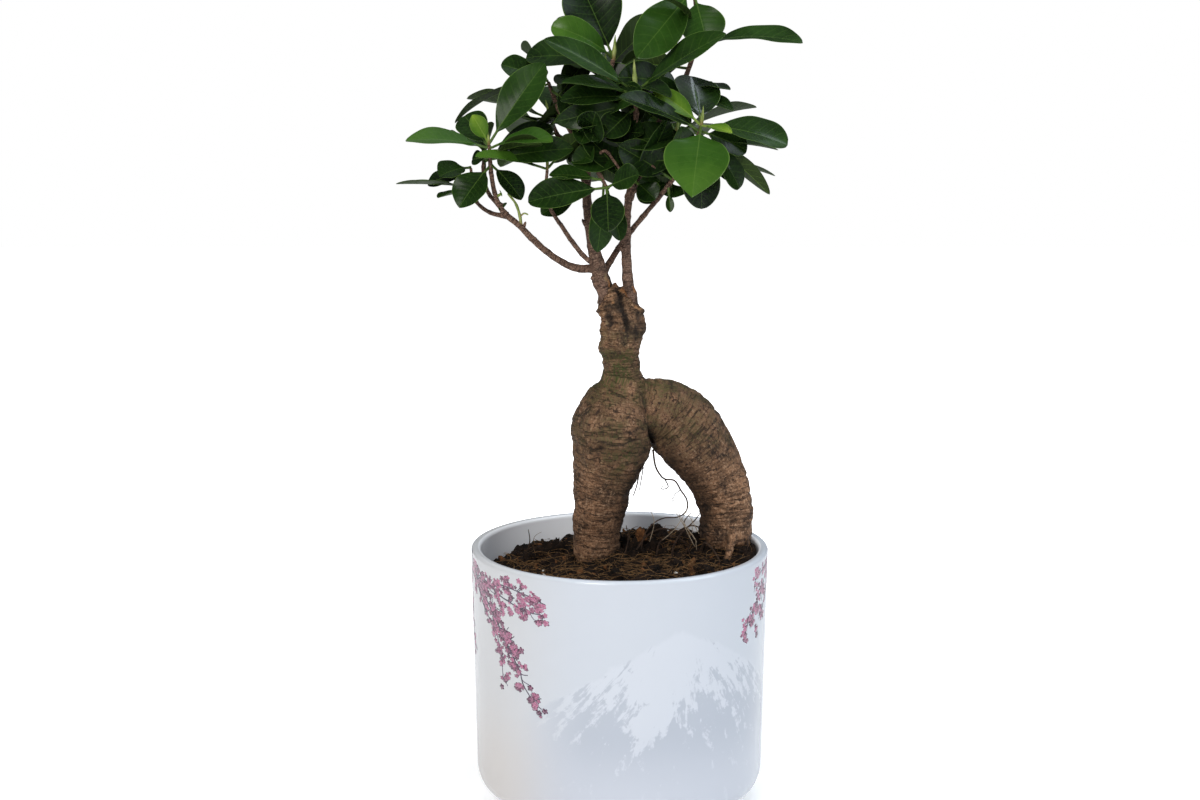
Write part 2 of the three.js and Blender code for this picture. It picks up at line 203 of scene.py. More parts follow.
# Random turns as matrices, from unit quaternions
def randomTurns(draw, count):
    w, x, y, z = unit(draw.normal(size=(count, 4))).T
    rows = [
        [1 - 2 * (y * y + z * z), 2 * (x * y - z * w), 2 * (x * z + y * w)],
        [2 * (x * y + z * w), 1 - 2 * (x * x + z * z), 2 * (y * z - x * w)],
        [2 * (x * z - y * w), 2 * (y * z + x * w), 1 - 2 * (x * x + y * y)],
    ]
    return np.moveaxis(np.array(rows), 2, 0)


# Material tools

# Linear colour from the usual 0 to 255 screen values
def tint(red, green, blue):
    share = np.array([red, green, blue]) / 255
    linear = np.where(share <= 0.04045, share / 12.92, ((share + 0.055) / 1.055) ** 2.4)
    return (*linear.tolist(), 1.0)


# Node with its inputs by name or number: a socket is linked and a value is set
def addNode(tree, kind, inputs=None, **settings):
    made = tree.nodes.new("ShaderNode" + kind)
    for key, value in settings.items():
        setattr(made, key, value)
    for key, value in (inputs or {}).items():
        if isinstance(value, bpy.types.NodeSocket):
            tree.links.new(value, made.inputs[key])
        else:
            made.inputs[key].default_value = value
    return made


def calc(tree, operation, *values, clamp=False):
    return addNode(tree, "Math", dict(enumerate(values)), operation=operation, use_clamp=clamp).outputs[0]


# a times b
def times(tree, a, b):
    return calc(tree, "MULTIPLY", a, b)


# a times b plus c
def timesAdd(tree, a, b, c, clamp=False):
    return calc(tree, "MULTIPLY_ADD", a, b, c, clamp=clamp)


# a minus b
def minus(tree, a, b):
    return calc(tree, "SUBTRACT", a, b)


# a without its sign
def absolute(tree, a):
    return calc(tree, "ABSOLUTE", a)


# First colour where the share is 0, second where it is 1
def blendColours(tree, share, first, second):
    inputs = {0: share, 6: first, 7: second}
    return addNode(tree, "Mix", inputs, data_type="RGBA", clamp_factor=True).outputs[2]


# Eased way from start to end as the value goes from low to high
def between(tree, value, low, high, start=0.0, end=1.0):
    inputs = {0: value, 1: low, 2: high, 3: start, 4: end}
    return addNode(tree, "MapRange", inputs, interpolation_type="SMOOTHSTEP").outputs[0]


def noise(tree, vector, scale, detail=3.0, roughness=0.5, distortion=0.0):
    inputs = {"Vector": vector, "Scale": scale, "Detail": detail, "Roughness": roughness}
    return addNode(tree, "TexNoise", {**inputs, "Distortion": distortion}).outputs[0]


def stretched(tree, vector, scale):
    return addNode(tree, "Mapping", {"Vector": vector, "Scale": scale}).outputs[0]


def split(tree, vector):
    return addNode(tree, "SeparateXYZ", {0: vector}).outputs


def attribute(tree, name):
    return addNode(tree, "Attribute", attribute_name=name).outputs["Vector"]


def objectPlace(tree):
    return addNode(tree, "TexCoord").outputs["Object"]


def bump(tree, height, strength, distance):
    return addNode(tree, "Bump", {"Height": height, "Strength": strength, "Distance": distance}).outputs[0]


def newMaterial(name, shader=None):
    material = bpy.data.materials.new(name)
    material.use_nodes = True
    principled = material.node_tree.nodes["Principled BSDF"]
    for key, value in (shader or {}).items():
        principled.inputs[key].default_value = value
    return material, material.node_tree, principled


def feed(tree, principled, **sockets):
    names = {"colour": "Base Color", "roughness": "Roughness", "normal": "Normal", "coat": "Coat Weight"}
    for key, socket in sockets.items():
        tree.links.new(socket, principled.inputs[names[key]])


# Node group with named inputs, given as (name, type, starting value)
def newGroup(name, inputs):
    group = bpy.data.node_groups.new(name, "ShaderNodeTree")
    for label, kind, value in inputs:
        socket = group.interface.new_socket(label, in_out="INPUT", socket_type="NodeSocket" + kind)
        if value is not None:
            socket.default_value = value
    return group, group.nodes.new("NodeGroupInput").outputs


# Named outputs of a group, each of its source's own type
def closeGroup(group, **sources):
    for label, source in sources.items():
        kind = "Color" if source.type == "RGBA" else "Float"
        group.interface.new_socket(label, in_out="OUTPUT", socket_type="NodeSocket" + kind)
    leave = group.nodes.new("NodeGroupOutput")
    for label, source in sources.items():
        group.links.new(source, leave.inputs[label])
    return group


# Wood grain that follows a limb: fine wrinkles across it, specks, and broad patches
def makeLimbGrain():
    group, given = newGroup("limbGrain", [("Flow", "Vector", None), ("Size", "Float", 1.0)])
    scaled = addNode(group, "VectorMath", {0: given["Flow"], "Scale": given["Size"]}, operation="SCALE")
    sized = scaled.outputs[0]
    wrinkle = noise(group, stretched(group, sized, (80, 80, 950)), 1.0, 4.0, 0.62, 0.25)
    speck = noise(group, sized, 900.0, 3.0, 0.65)
    patch = noise(group, stretched(group, sized, (70, 70, 55)), 1.0, 3.0, 0.55, 0.4)
    lines = between(group, wrinkle, 0.30, 0.52)
    # thin dark lines across the limb: where a long flat noise passes its middle value
    level = noise(group, stretched(group, sized, (38, 38, 330)), 1.0, 3.0, 0.55, 0.3)
    crack = between(group, absolute(group, minus(group, level, 0.5)), 0.022, 0.003)
    crack = times(group, crack, between(group, patch, 0.30, 0.50))
    raised = minus(group, timesAdd(group, speck, 0.45, lines), crack)
    return closeGroup(group, Wrinkle=lines, Line=crack, Speck=speck, Patch=patch, Height=raised)


# Leaf veins: a midrib, side veins that leave it slanting to the tip, and a thin rim, from the leaf's own
# coordinates (share along the blade, share across from -1 to 1, millimetres from the midrib)
def makeLeafVeins():
    inputs = [("Leaf", "Vector", None), ("Pairs", "Float", 9.0), ("Midrib", "Float", 0.42)]
    group, given = newGroup("leafVeins", inputs)
    parts = split(group, given["Leaf"])
    across = absolute(group, parts[1])
    away = absolute(group, parts[2])
    taper = times(group, given["Midrib"], timesAdd(group, parts[0], -0.75, 1.0))
    midrib = minus(group, 1.0, between(group, calc(group, "DIVIDE", away, taper), 0.35, 1.0))
    bent = times(group, calc(group, "POWER", across, 1.25), 0.17)
    phase = times(group, minus(group, parts[0], bent), given["Pairs"])
    wave = calc(group, "PINGPONG", phase, 0.5)
    line = minus(group, 1.0, between(group, wave, 0.0, 0.07))
    veins = times(group, line, between(group, across, 1.0, 0.55))
    rim = between(group, across, 0.95, 0.992)
    pillow = times(group, between(group, wave, 0.0, 0.5), 0.2)
    height = minus(group, pillow, times(group, midrib, 0.5))
    return closeGroup(group, Midrib=midrib, Veins=veins, Rim=rim, Height=height)


# Uneven tone: one colour drifting into another over broad noise
def makeUnevenTone():
    colours = [("Low", "Color", None), ("High", "Color", None)]
    group, given = newGroup("unevenTone", [("Vector", "Vector", None), ("Scale", "Float", 100.0), *colours])
    share = between(group, noise(group, given["Vector"], given["Scale"], 4.0, 0.6, 0.3), 0.30, 0.70)
    return closeGroup(group, Color=blendColours(group, share, given["Low"], given["High"]))


def uneven(tree, place, scale, low, high):
    inputs = {"Vector": place, "Scale": scale, "Low": low, "High": high}
    return addNode(tree, "Group", inputs, node_tree=unevenTone).outputs["Color"]


limbGrain, leafVeins, unevenTone = makeLimbGrain(), makeLeafVeins(), makeUnevenTone()
print("node groups made")


# Camera, lights, world and floor

studio = {
    "eye": (-0.009155, -0.650, 0.2856),
    "pitch": -8.071,
    "lens": 42.116,
    "world": (0.40, 0.41, 0.43),
    "mirrored": (0.17, 0.18, 0.19),  # what glossy surfaces see of the studio walls
    "floorGlow": (0.22, 1.1),  # near the pot, and from where the floor ends for the eye
    "glowReach": (0.10, 0.75),
    "lights": {
        # name: place, size, power, colour, mirrored in gloss
        "keyLeft": ((-0.40, -1.10, 0.80), 0.55, 8.8, (1.0, 0.965, 0.92), True),
        "fillRight": ((0.95, -0.45, 0.75), 0.60, 3.0, (0.82, 0.91, 1.0), True),
        "topSoft": ((0.05, -0.10, 1.35), 0.70, 5.8, (0.95, 0.98, 1.0), False),
        "skyRight": ((0.62, 0.15, 1.30), 0.65, 3.2, (0.80, 0.90, 1.0), True),
        "backSoft": ((-0.35, 1.00, 0.75), 0.80, 4.2, (1.0, 1.0, 1.0), False),
    },
    "aim": (-0.01, 0.0, 0.22),
    "floorHalf": 8.0,
    "floorDrop": 0.0001,
}


def setUpStudio():
    lens = bpy.data.cameras.new("frontCamera")
    lens.lens, lens.sensor_width = studio["lens"], 36.0
    lens.clip_start, lens.clip_end = 0.01, 50.0
    eye = bpy.data.objects.new("frontCamera", lens)
    eye.location = studio["eye"]
    eye.rotation_euler = (math.radians(90 + studio["pitch"]), 0, 0)
    scene.collection.objects.link(eye)
    scene.camera = eye
    for name, (place, size, power, colour, mirrored) in studio["lights"].items():
        lamp = bpy.data.lights.new(name, "AREA")
        lamp.shape, lamp.size, lamp.energy, lamp.color = "DISK", size, power, colour
        light = bpy.data.objects.new(name, lamp)
        light.location = place
        light.visible_glossy = mirrored
        x, y, z = np.subtract(studio["aim"], place)
        light.rotation_euler = (math.atan2(math.hypot(x, y), -z), 0, math.atan2(y, x) - math.pi / 2)
        scene.collection.objects.link(light)
    world = bpy.data.worlds.new("studioWorld")
    world.use_nodes = True
    tree = world.node_tree
    background = tree.nodes["Background"]
    path = addNode(tree, "LightPath").outputs
    colour = blendColours(tree, path["Is Glossy Ray"], (*studio["world"], 1), (*studio["mirrored"], 1))
    colour = blendColours(tree, path["Is Camera Ray"], colour, (1, 1, 1, 1))
    tree.links.new(colour, background.inputs["Color"])
    scene.world = world
    scene.view_settings.view_transform = "Standard"


# Pale floor that glows to white with the distance from the pot, for the eye only
def makeFloor():
    material, tree, principled = newMaterial("paleFloor", {"Roughness": 0.9, "Emission Color": (1, 1, 1, 1)})
    place = objectPlace(tree)
    seen = addNode(tree, "LightPath").outputs["Is Camera Ray"]
    away = addNode(tree, "VectorMath", {0: place}, operation="LENGTH").outputs["Value"]
    glow = between(tree, away, *studio["glowReach"], *studio["floorGlow"])
    tree.links.new(times(tree, seen, glow), principled.inputs["Emission Strength"])
    feed(tree, principled, colour=uneven(tree, place, 2.0, (0.88, 0.88, 0.88, 1), (0.90, 0.90, 0.90, 1)))
    square = np.array([[-1, -1, 0], [1, -1, 0], [1, 1, 0], [-1, 1, 0]])
    corners = (studio["floorHalf"] * square - studio["floorDrop"] * up3) / mm
    mesh = meshFrom("floor", corners, np.array([[0, 1, 2, 3]]), np.zeros((0, 3), int))
    floor = bpy.data.objects.new("floor", mesh)
    mesh.materials.append(material)
    scene.collection.objects.link(floor)


setUpStudio()
makeFloor()
print("studio ready")


# Pot

pot = {
    "height": 125.0,
    "rimRadius": 70.0,
    "shoulderRadius": 68.25,
    "shoulderHeight": 16.0,
    "footRadius": 49.0,
    "wall": 4.5,
    "floor": 8.0,
    "rimRound": 1.8,
    "cornerRound": 16.0,
    "columns": 224,
    # inside white, lighter and bluer than the outside glaze: painted light on the inner walls
    "inside": tint(246, 248, 252),
    "insideReach": (0.0664, 0.0672),  # distances from the axis, in metres, where inside turns to outside
    "white": (tint(198, 204, 213), tint(202, 203, 205)),  # right and left: painted light makes the right cooler and the left warmer
    "paintedWarmLightReach": (-0.015, -0.06),  # where the painted warm light grows from right to left, in metres
    # haze on the right and the left, with the same painted warm light on the left
    "haze": (tint(191, 196, 207), tint(204, 200, 197)),
    "hazeReach": (82.0, 34.0),
    "snow": tint(208, 213, 222),
    "snowShare": 0.5,
    "rock": tint(174, 181, 193),
    "rockShare": 0.85,
    "roughness": (0.16, 0.27),
    "hill": {
        "arc": 27.0,  # where the front hill's top is, along the wall from the middle of the front
        "top": 104.0,
        "slope": 0.62,
        "edge": (-0.6, 2.2),
        "raggedness": 9.0,
        "ribs": (11.0, 0.07),  # how fine the ribs of rock are across the fall lines and down them
        "rockLevel": (0.67, 0.78),
        "bareDepth": (6.0, 62.0),
        "ridge": (24.0, 10.0),  # distances from the ridge's line between which its snow ends
        "ridgeLean": 0.34,
        "ridgeDepth": (66.0, 40.0),
        "mist": (24.0, 58.0),
        "middle": 12.0,  # the slopes fade with the distance from here, before they meet the next hill's
        "rockFade": (92.0, 50.0),
        "snowFade": (92.0, 40.0),
    },
}


# Outside radius of the straight wall at a height
def wallRadius(height):
    share = (height - pot["shoulderHeight"]) / (pot["height"] - pot["shoulderHeight"])
    return pot["shoulderRadius"] + (pot["rimRadius"] - pot["shoulderRadius"]) * share


# Quarter turn between two points round the corner where their directions meet: (1-t)^2 a + 2t(1-t) b + t^2 c
def corner(a, b, c, steps):
    t = np.linspace(0, 1, steps)[:, None]
    a, b, c = np.array(a), np.array(b), np.array(c)
    return (1 - t) ** 2 * a + 2 * t * (1 - t) * b + t**2 * c


# Straight run between two points, without its last point
def straight(a, b, steps):
    return np.linspace(a, b, steps, endpoint=False)


# Profile of radius and height from the middle of the underside, up the outside, over the rim and down inside
def potProfile():
    height, rim, foot, floor = pot["height"], pot["rimRadius"], pot["footRadius"], pot["floor"]
    shoulder, level = pot["shoulderRadius"], pot["shoulderHeight"]
    edge, turn = pot["rimRound"], pot["cornerRound"]
    bore = rim - pot["wall"]
    inside = wallRadius(floor + turn) - pot["wall"]
    low = wallRadius(floor) - pot["wall"]
    return np.concatenate([
        straight((1.0, 0.6), (foot - 6, 0.6), 10),
        straight((foot - 5, 0.0), (foot - 1, 0.0), 4),
        corner((foot - 1, 0.0), (foot, 0.0), (foot + 0.8, 0.8), 5),
        straight((foot + 1, 1.0), (shoulder - 2, level - 3), 10),
        corner((shoulder - 2, level - 3), (shoulder, level), (shoulder, level + 4), 10),
        straight((shoulder + 0.02, level + 5), (rim, height - edge), 70),
        corner((rim, height - edge), (rim, height), (rim - edge, height), 9),
        corner((rim - edge - 0.2, height), (bore, height), (bore, height - edge), 9),
        straight((bore, height - edge - 0.5), (inside, floor + turn), 40),
        corner((inside, floor + turn), (low, floor), (low - turn, floor), 8),
        straight((low - turn - 1, floor), (1.0, floor), 8),
    ])


# Glaze: a hill on white that turns to haze lower down, on the outside only. The hill's outline falls both
# ways from its top, and rock shows where ribbed noise and the depth below the top add up to enough.
def makeGlaze():
    shader = {"Coat Weight": 0.5, "Coat Roughness": 0.06, "Specular IOR Level": 0.5}
    material, tree, principled = newMaterial("potGlaze", shader)
    hill = pot["hill"]
    place = objectPlace(tree)
    x, y, z = split(tree, place)
    millis = times(tree, z, 1000.0)
    angle = calc(tree, "ARCTAN2", x, times(tree, y, -1.0))
    arc = times(tree, angle, pot["rimRadius"])
    quarter = math.pi * pot["rimRadius"] / 2
    fromTop = calc(tree, "WRAP", minus(tree, arc, hill["arc"]), quarter, -quarter)
    # outline, with a rough edge
    rough = noise(tree, place, 90.0, 4.0, 0.6)
    fine = noise(tree, place, 420.0, 4.0, 0.6)
    rounded = calc(tree, "SQRT", timesAdd(tree, fromTop, fromTop, 60.0))
    fall = times(tree, rounded, hill["slope"])
    outline = minus(tree, timesAdd(tree, rough, hill["raggedness"], hill["top"] - 2.0), fall)
    inHill = between(tree, minus(tree, outline, millis), *hill["edge"])
    # ribs of rock run down from the top: noise that is fine across the fall lines and long down them
    drop = minus(tree, hill["top"] + 16.0, millis)
    line = calc(tree, "DIVIDE", fromTop, calc(tree, "MAXIMUM", drop, 8.0))
    across, down = (times(tree, value, share) for value, share in zip((line, millis), hill["ribs"]))
    ribPlace = addNode(tree, "CombineXYZ", {0: across, 1: down, 2: 0.0}).outputs[0]
    ribs = noise(tree, ribPlace, 1.0, 5.0, 0.68, 0.5)
    depth = minus(tree, hill["top"], millis)
    bare = timesAdd(tree, between(tree, depth, *hill["bareDepth"]), 0.30, times(tree, fine, 0.16))
    # a broad snowy ridge runs down left of the top, and the ribs break up lower down
    ridge = absolute(tree, timesAdd(tree, depth, hill["ridgeLean"], fromTop))
    snowy = between(tree, timesAdd(tree, rough, 22.0, ridge), *hill["ridge"], 0.0, 0.28)
    snowy = times(tree, snowy, between(tree, depth, *hill["ridgeDepth"]))
    patchy = times(tree, minus(tree, noise(tree, place, 150.0, 5.0, 0.65, 0.6), 0.5), 0.55)
    bare = calc(tree, "ADD", minus(tree, bare, snowy), patchy)
    rock = between(tree, calc(tree, "ADD", ribs, bare), *hill["rockLevel"])
    clear = timesAdd(tree, between(tree, millis, *hill["mist"]), 0.75, 0.25)
    rock = times(tree, times(tree, rock, inHill), clear)
    fromAxis = calc(tree, "SQRT", timesAdd(tree, x, x, times(tree, y, y)))
    outside = between(tree, fromAxis, *pot["insideReach"])
    apart = absolute(tree, calc(tree, "ADD", fromTop, -hill["middle"]))
    rock = times(tree, times(tree, rock, outside), between(tree, apart, *hill["rockFade"]))
    inHill = times(tree, inHill, between(tree, apart, *hill["snowFade"]))
    # ground: cool white above, a lavender haze rising from below, snow a touch lighter inside the hill
    haze = between(tree, timesAdd(tree, rough, 16.0, millis), *pot["hazeReach"])
    # painted light: the glaze and haze turn warmer towards the left of the pot and stay cool on the right
    paintedWarmLight = between(tree, x, *pot["paintedWarmLightReach"])
    plain = blendColours(tree, paintedWarmLight, *pot["white"])
    plain = blendColours(tree, haze, plain, blendColours(tree, paintedWarmLight, *pot["haze"]))
    snow = times(tree, times(tree, inHill, outside), pot["snowShare"])
    colour = blendColours(tree, snow, plain, pot["snow"])
    colour = blendColours(tree, times(tree, rock, pot["rockShare"]), colour, pot["rock"])
    # the inside takes the lighter, bluer white of painted light
    colour = blendColours(tree, outside, pot["inside"], colour)
    smear = noise(tree, place, 35.0, 3.0, 0.55)
    orange = noise(tree, place, 260.0, 2.0, 0.5)
    gloss = between(tree, smear, 0.3, 0.7, *pot["roughness"])
    feed(tree, principled, colour=colour, roughness=gloss, normal=bump(tree, orange, 0.05, 0.0004))
    return material


# The profile turned once round the axis: radius times cosine and sine of the angle, and height
def makePot():
    profile = potProfile()
    angle = roundAngles(pot["columns"])
    radius, height = profile[:, :1], profile[:, 1:]
    grid = np.stack([radius * np.cos(angle), radius * np.sin(angle), height + 0 * angle], -1)
    addSkin("glazedPot", skin(grid[None]), makeGlaze(), stands=["pot"])


makePot()
print("pot made")


# Blossom sprays printed on the pot

blossom = {
    "lift": 0.07,  # how far the print stands off the glaze
    "petals": 5,
    "columns": 15,  # three to a petal, so that the notches fall on points
    "clumpGap": 3.4,
    "clumpSize": 1.5,
    "crowding": 8,  # most flowers in a clump
    "scatter": 2.0,
    "smallest": 1.0,
    "largest": 2.0,
    "rimGap": 3.4,  # no flower's middle is nearer to the top of the rim
    "rings": ([0.7, 1.0, 0.35], [-0.10, -0.02, 1.0]),  # sizes and lifts of a flower's three rings
    "sideTwigs": {"gap": 5.0, "lean": (0.4, 1.1), "length": (2.5, 6.5), "half": 0.2, "bend": 0.35},
    "shader": {"Coat Weight": 0.5, "Coat Roughness": 0.08, "Roughness": 0.3},
    "pink": (tint(74, 32, 60), tint(186, 108, 142)),
    "pale": tint(218, 172, 194),
    "outline": tint(88, 48, 84),
    "heart": tint(66, 26, 50),
    "twigs": (tint(44, 36, 54), tint(88, 74, 98)),
    "seed": 11,
    # twigs as knots of place along the wall from the middle of the front, height, half width; and how thick
    # the flowers stand along the twig
    "sprays": [
        ([(-98, 125, 0.6), (-85, 116, 0.55), (-72, 106, 0.5), (-62, 97, 0.45), (-55, 89, 0.4),
          (-50, 81, 0.35), (-44.6, 71, 0.3), (-37, 65, 0.2)], 0.9),
        ([(-94, 122, 0.45), (-80, 118, 0.4), (-64, 113, 0.35), (-50, 109, 0.3), (-37, 108, 0.2)], 1.25),
        ([(-88, 116, 0.4), (-74, 113, 0.35), (-60, 117, 0.3), (-46, 116, 0.25), (-34, 113, 0.2)], 1.0),
        ([(-84, 112, 0.4), (-76, 103, 0.35), (-68, 98, 0.3), (-60, 95, 0.25), (-52, 93, 0.2)], 0.9),
        ([(-92, 119, 0.45), (-84, 114, 0.4), (-77, 109, 0.35), (-70, 106, 0.25), (-60, 105, 0.2)], 1.2),
        ([(-97, 121, 0.4), (-99, 104, 0.35), (-97, 90, 0.3), (-92, 80, 0.2)], 0.6),
        ([(-68, 101, 0.3), (-64, 92, 0.3), (-61, 84, 0.25), (-60, 74, 0.2)], 0.55),
        ([(104, 125, 0.55), (91, 117, 0.5), (80, 107, 0.4), (71, 100, 0.35), (62, 93, 0.25)], 1.15),
        ([(100, 123, 0.4), (86, 120, 0.35), (74, 116, 0.25)], 1.3),
        ([(106, 121, 0.4), (96, 113, 0.35), (88, 103, 0.3), (80, 96, 0.2)], 1.2),
        ([(150, 125, 0.55), (160, 112, 0.5), (171, 100, 0.4), (183, 90, 0.35), (197, 82, 0.2)], 1.0),
        ([(157, 116, 0.35), (172, 113, 0.3), (188, 112, 0.2)], 1.0),
    ],
}


# Point on the outside of the pot from its place along the wall, its height, and how far it stands off
def onWall(arc, height, lift):
    turn = arc / pot["rimRadius"]
    radius = wallRadius(height) + lift
    return np.stack([radius * np.sin(turn), -radius * np.cos(turn), height + 0 * turn], -1)


def makeBlossomMaterials():
    petal, tree, principled = newMaterial("blossomPrint", blossom["shader"])
    share, tone, _ = split(tree, attribute(tree, "petal"))
    pink = blendColours(tree, between(tree, tone, 0.1, 0.8), *blossom["pink"])
    spot = noise(tree, objectPlace(tree), 1500.0, 3.0, 0.6)
    colour = blendColours(tree, between(tree, spot, 0.42, 0.66, 0.0, 0.5), pink, blossom["pale"])
    colour = blendColours(tree, between(tree, share, 0.70, 0.95, 0.0, 0.85), colour, blossom["outline"])
    colour = blendColours(tree, between(tree, share, 0.42, 0.12), colour, blossom["heart"])
    feed(tree, principled, colour=colour)
    twig, tree, principled = newMaterial("twigPrint", blossom["shader"])
    feed(tree, principled, colour=uneven(tree, objectPlace(tree), 500.0, *blossom["twigs"]))
    return petal, twig


# Flat twig on the wall round a line of places: half width times the cosine of the section's angle to each
# side, and lift times (0.2 + 0.8 of its sine) off the wall
def printedTwig(line, square, half):
    around = roundAngles(6)
    flat = line[..., None, :] + square[..., None, :] * (half * np.cos(around))[..., None]
    return onWall(flat[..., 0], flat[..., 1], blossom["lift"] * (0.2 + 0.8 * np.sin(around)))


# Flowers: the outline swells into petals, size times (0.66 + 0.37 times the root of |cos(2.5 turn)|), low
# domes that are closed behind the glaze
def flowerGrids(draw, spots):
    count, columns = len(spots), blossom["columns"]
    size = draw.uniform(blossom["smallest"], blossom["largest"], (count, 1, 1))
    turn = roundAngles(columns) + draw.uniform(0, 7, (count, 1, 1))
    inPetal = turn - turn[..., :1] + math.pi / columns
    lobes = 0.66 + 0.37 * np.sqrt(np.abs(np.cos(blossom["petals"] / 2 * inPetal)))
    squash = draw.uniform(0.6, 1.0, (count, 1, 1))
    ring, rise = (np.array(row)[None, :, None] for row in blossom["rings"])
    arc = spots[:, :1, None] + ring * size * lobes * np.cos(turn)
    height = spots[:, 1:, None] + ring * size * lobes * np.sin(turn) * squash
    lift = rise * blossom["lift"] + 0 * arc + 0.012 * draw.random((count, 1, 1))
    share = ring * lobes + 0 * arc
    tone = draw.random((count, 1, 1)) + 0 * arc
    return np.concatenate([onWall(arc, height, lift), np.stack([share, tone, 0 * tone], -1)], -1)


# Each spray: a wandering twig, side twigs and clumps of flowers along it, laid on the wall
def makeSprays():
    draw = np.random.default_rng(blossom["seed"])
    petal, twigInk = makeBlossomMaterials()
    side = blossom["sideTwigs"]
    spots, ribbons = [], []
    for knots, thickness in blossom["sprays"]:
        rows = 60
        path, length = smoothPath([(arc, height, 0, half) for arc, height, half in knots], rows)
        wander = [softNoise(path[:, :3] + 50, 5, seed) for seed in (3, 9)]
        path[:, :2] += 0.5 * np.stack(wander, 1)
        heading = unit(np.gradient(path[:, :2], axis=0))
        square = np.stack([-heading[:, 1], heading[:, 0]], 1)
        ribbons.append(skin(printedTwig(path[:, :2], square, path[:, 3:])[None]))
        # short side twigs, thin and a little bent, to both sides of the spray
        twigs = max(4, int(length / side["gap"]))
        foot = draw.integers(4, rows, twigs)
        lean = np.arctan2(heading[foot, 1], heading[foot, 0])
        lean = lean + draw.choice([-1, 1], twigs) * draw.uniform(*side["lean"], twigs)
        ahead = np.stack([np.cos(lean), np.sin(lean)], 1)[:, None]
        square = np.stack([-ahead[..., 1], ahead[..., 0]], -1)
        reach = np.linspace(0, 1, 8)[None, :, None] * draw.uniform(*side["length"], (twigs, 1, 1))
        line = path[foot, None, :2] + ahead * reach - side["bend"] * square * np.sin(reach)
        small = printedTwig(line, square, side["half"])
        ribbons.append(skin(small[(line[..., 1] < pot["height"] - 3).all(1)]))
        # flowers stand in clumps along the twig
        clumps = int(length / blossom["clumpGap"])
        middle = path[np.linspace(5, rows - 1, clumps).astype(int), :2]
        middle = middle + draw.normal(0, blossom["scatter"] * thickness, (clumps, 2))
        crowd = draw.integers(3, int(blossom["crowding"] * thickness) + 4, clumps)
        at = np.repeat(middle, crowd, axis=0)
        spots.append(at + draw.normal(0, blossom["clumpSize"], at.shape))
    spots = np.concatenate(spots)
    spots = spots[spots[:, 1] < pot["height"] - blossom["rimGap"]]
    addSkin("blossomPetals", skin(flowerGrids(draw, spots)), petal, ["petal"])
    addSkin("blossomTwigs", joinSkins(ribbons), twigInk)
    print("blossoms made:", len(spots))


makeSprays()


# Wood: the same limbs as the solids, knots as x, y, z, radius

legs = {
    "left": [(2, 0, 199, 8), (-1, -1, 193, 15), (-2.8, -1, 184, 18.6), (-3.9, -1, 173, 18.4),
             (-6.8, 0, 160, 15.3), (-9, 1, 146, 13), (-10.4, 2, 132, 11.6), (-11, 3, 120, 10.8),
             (-11, 4, 108, 8.5), (-10, 4, 98, 4)],
    "right": [(4, 2, 193, 9), (14, 3, 190, 14.2), (24.5, 5, 185, 16.6), (34, 6, 175.5, 17.4),
              (42, 7, 164.5, 15.8), (47.3, 7, 152.5, 13.9), (50.4, 6, 139, 12.7), (50.8, 5, 127, 12.4),
              (49, 5, 114, 10.5), (46, 5, 100, 5)],
    "neck": [(3, 0.5, 190, 15), (1.6, 0.5, 200, 10.6), (1, 0, 207, 9), (0.7, 0, 216, 8.6), (0.6, 0, 225, 9.4),
             (0.4, 0, 233, 9.3), (-1.6, 0, 240, 7.8), (-3.4, 0, 246, 5.4)],
}
sideRoots = [
    [(52, 0, 138, 3), (53, -7, 131, 2.4), (51, -12, 124, 2), (48, -15, 115, 1.4)],
    [(56, 10, 132, 3.2), (59, 14, 124, 2.6), (58, 17, 114, 1.8)],
    [(45, 14, 131, 3.2), (40, 22, 123, 2.6), (34, 29, 113, 1.8)],
]
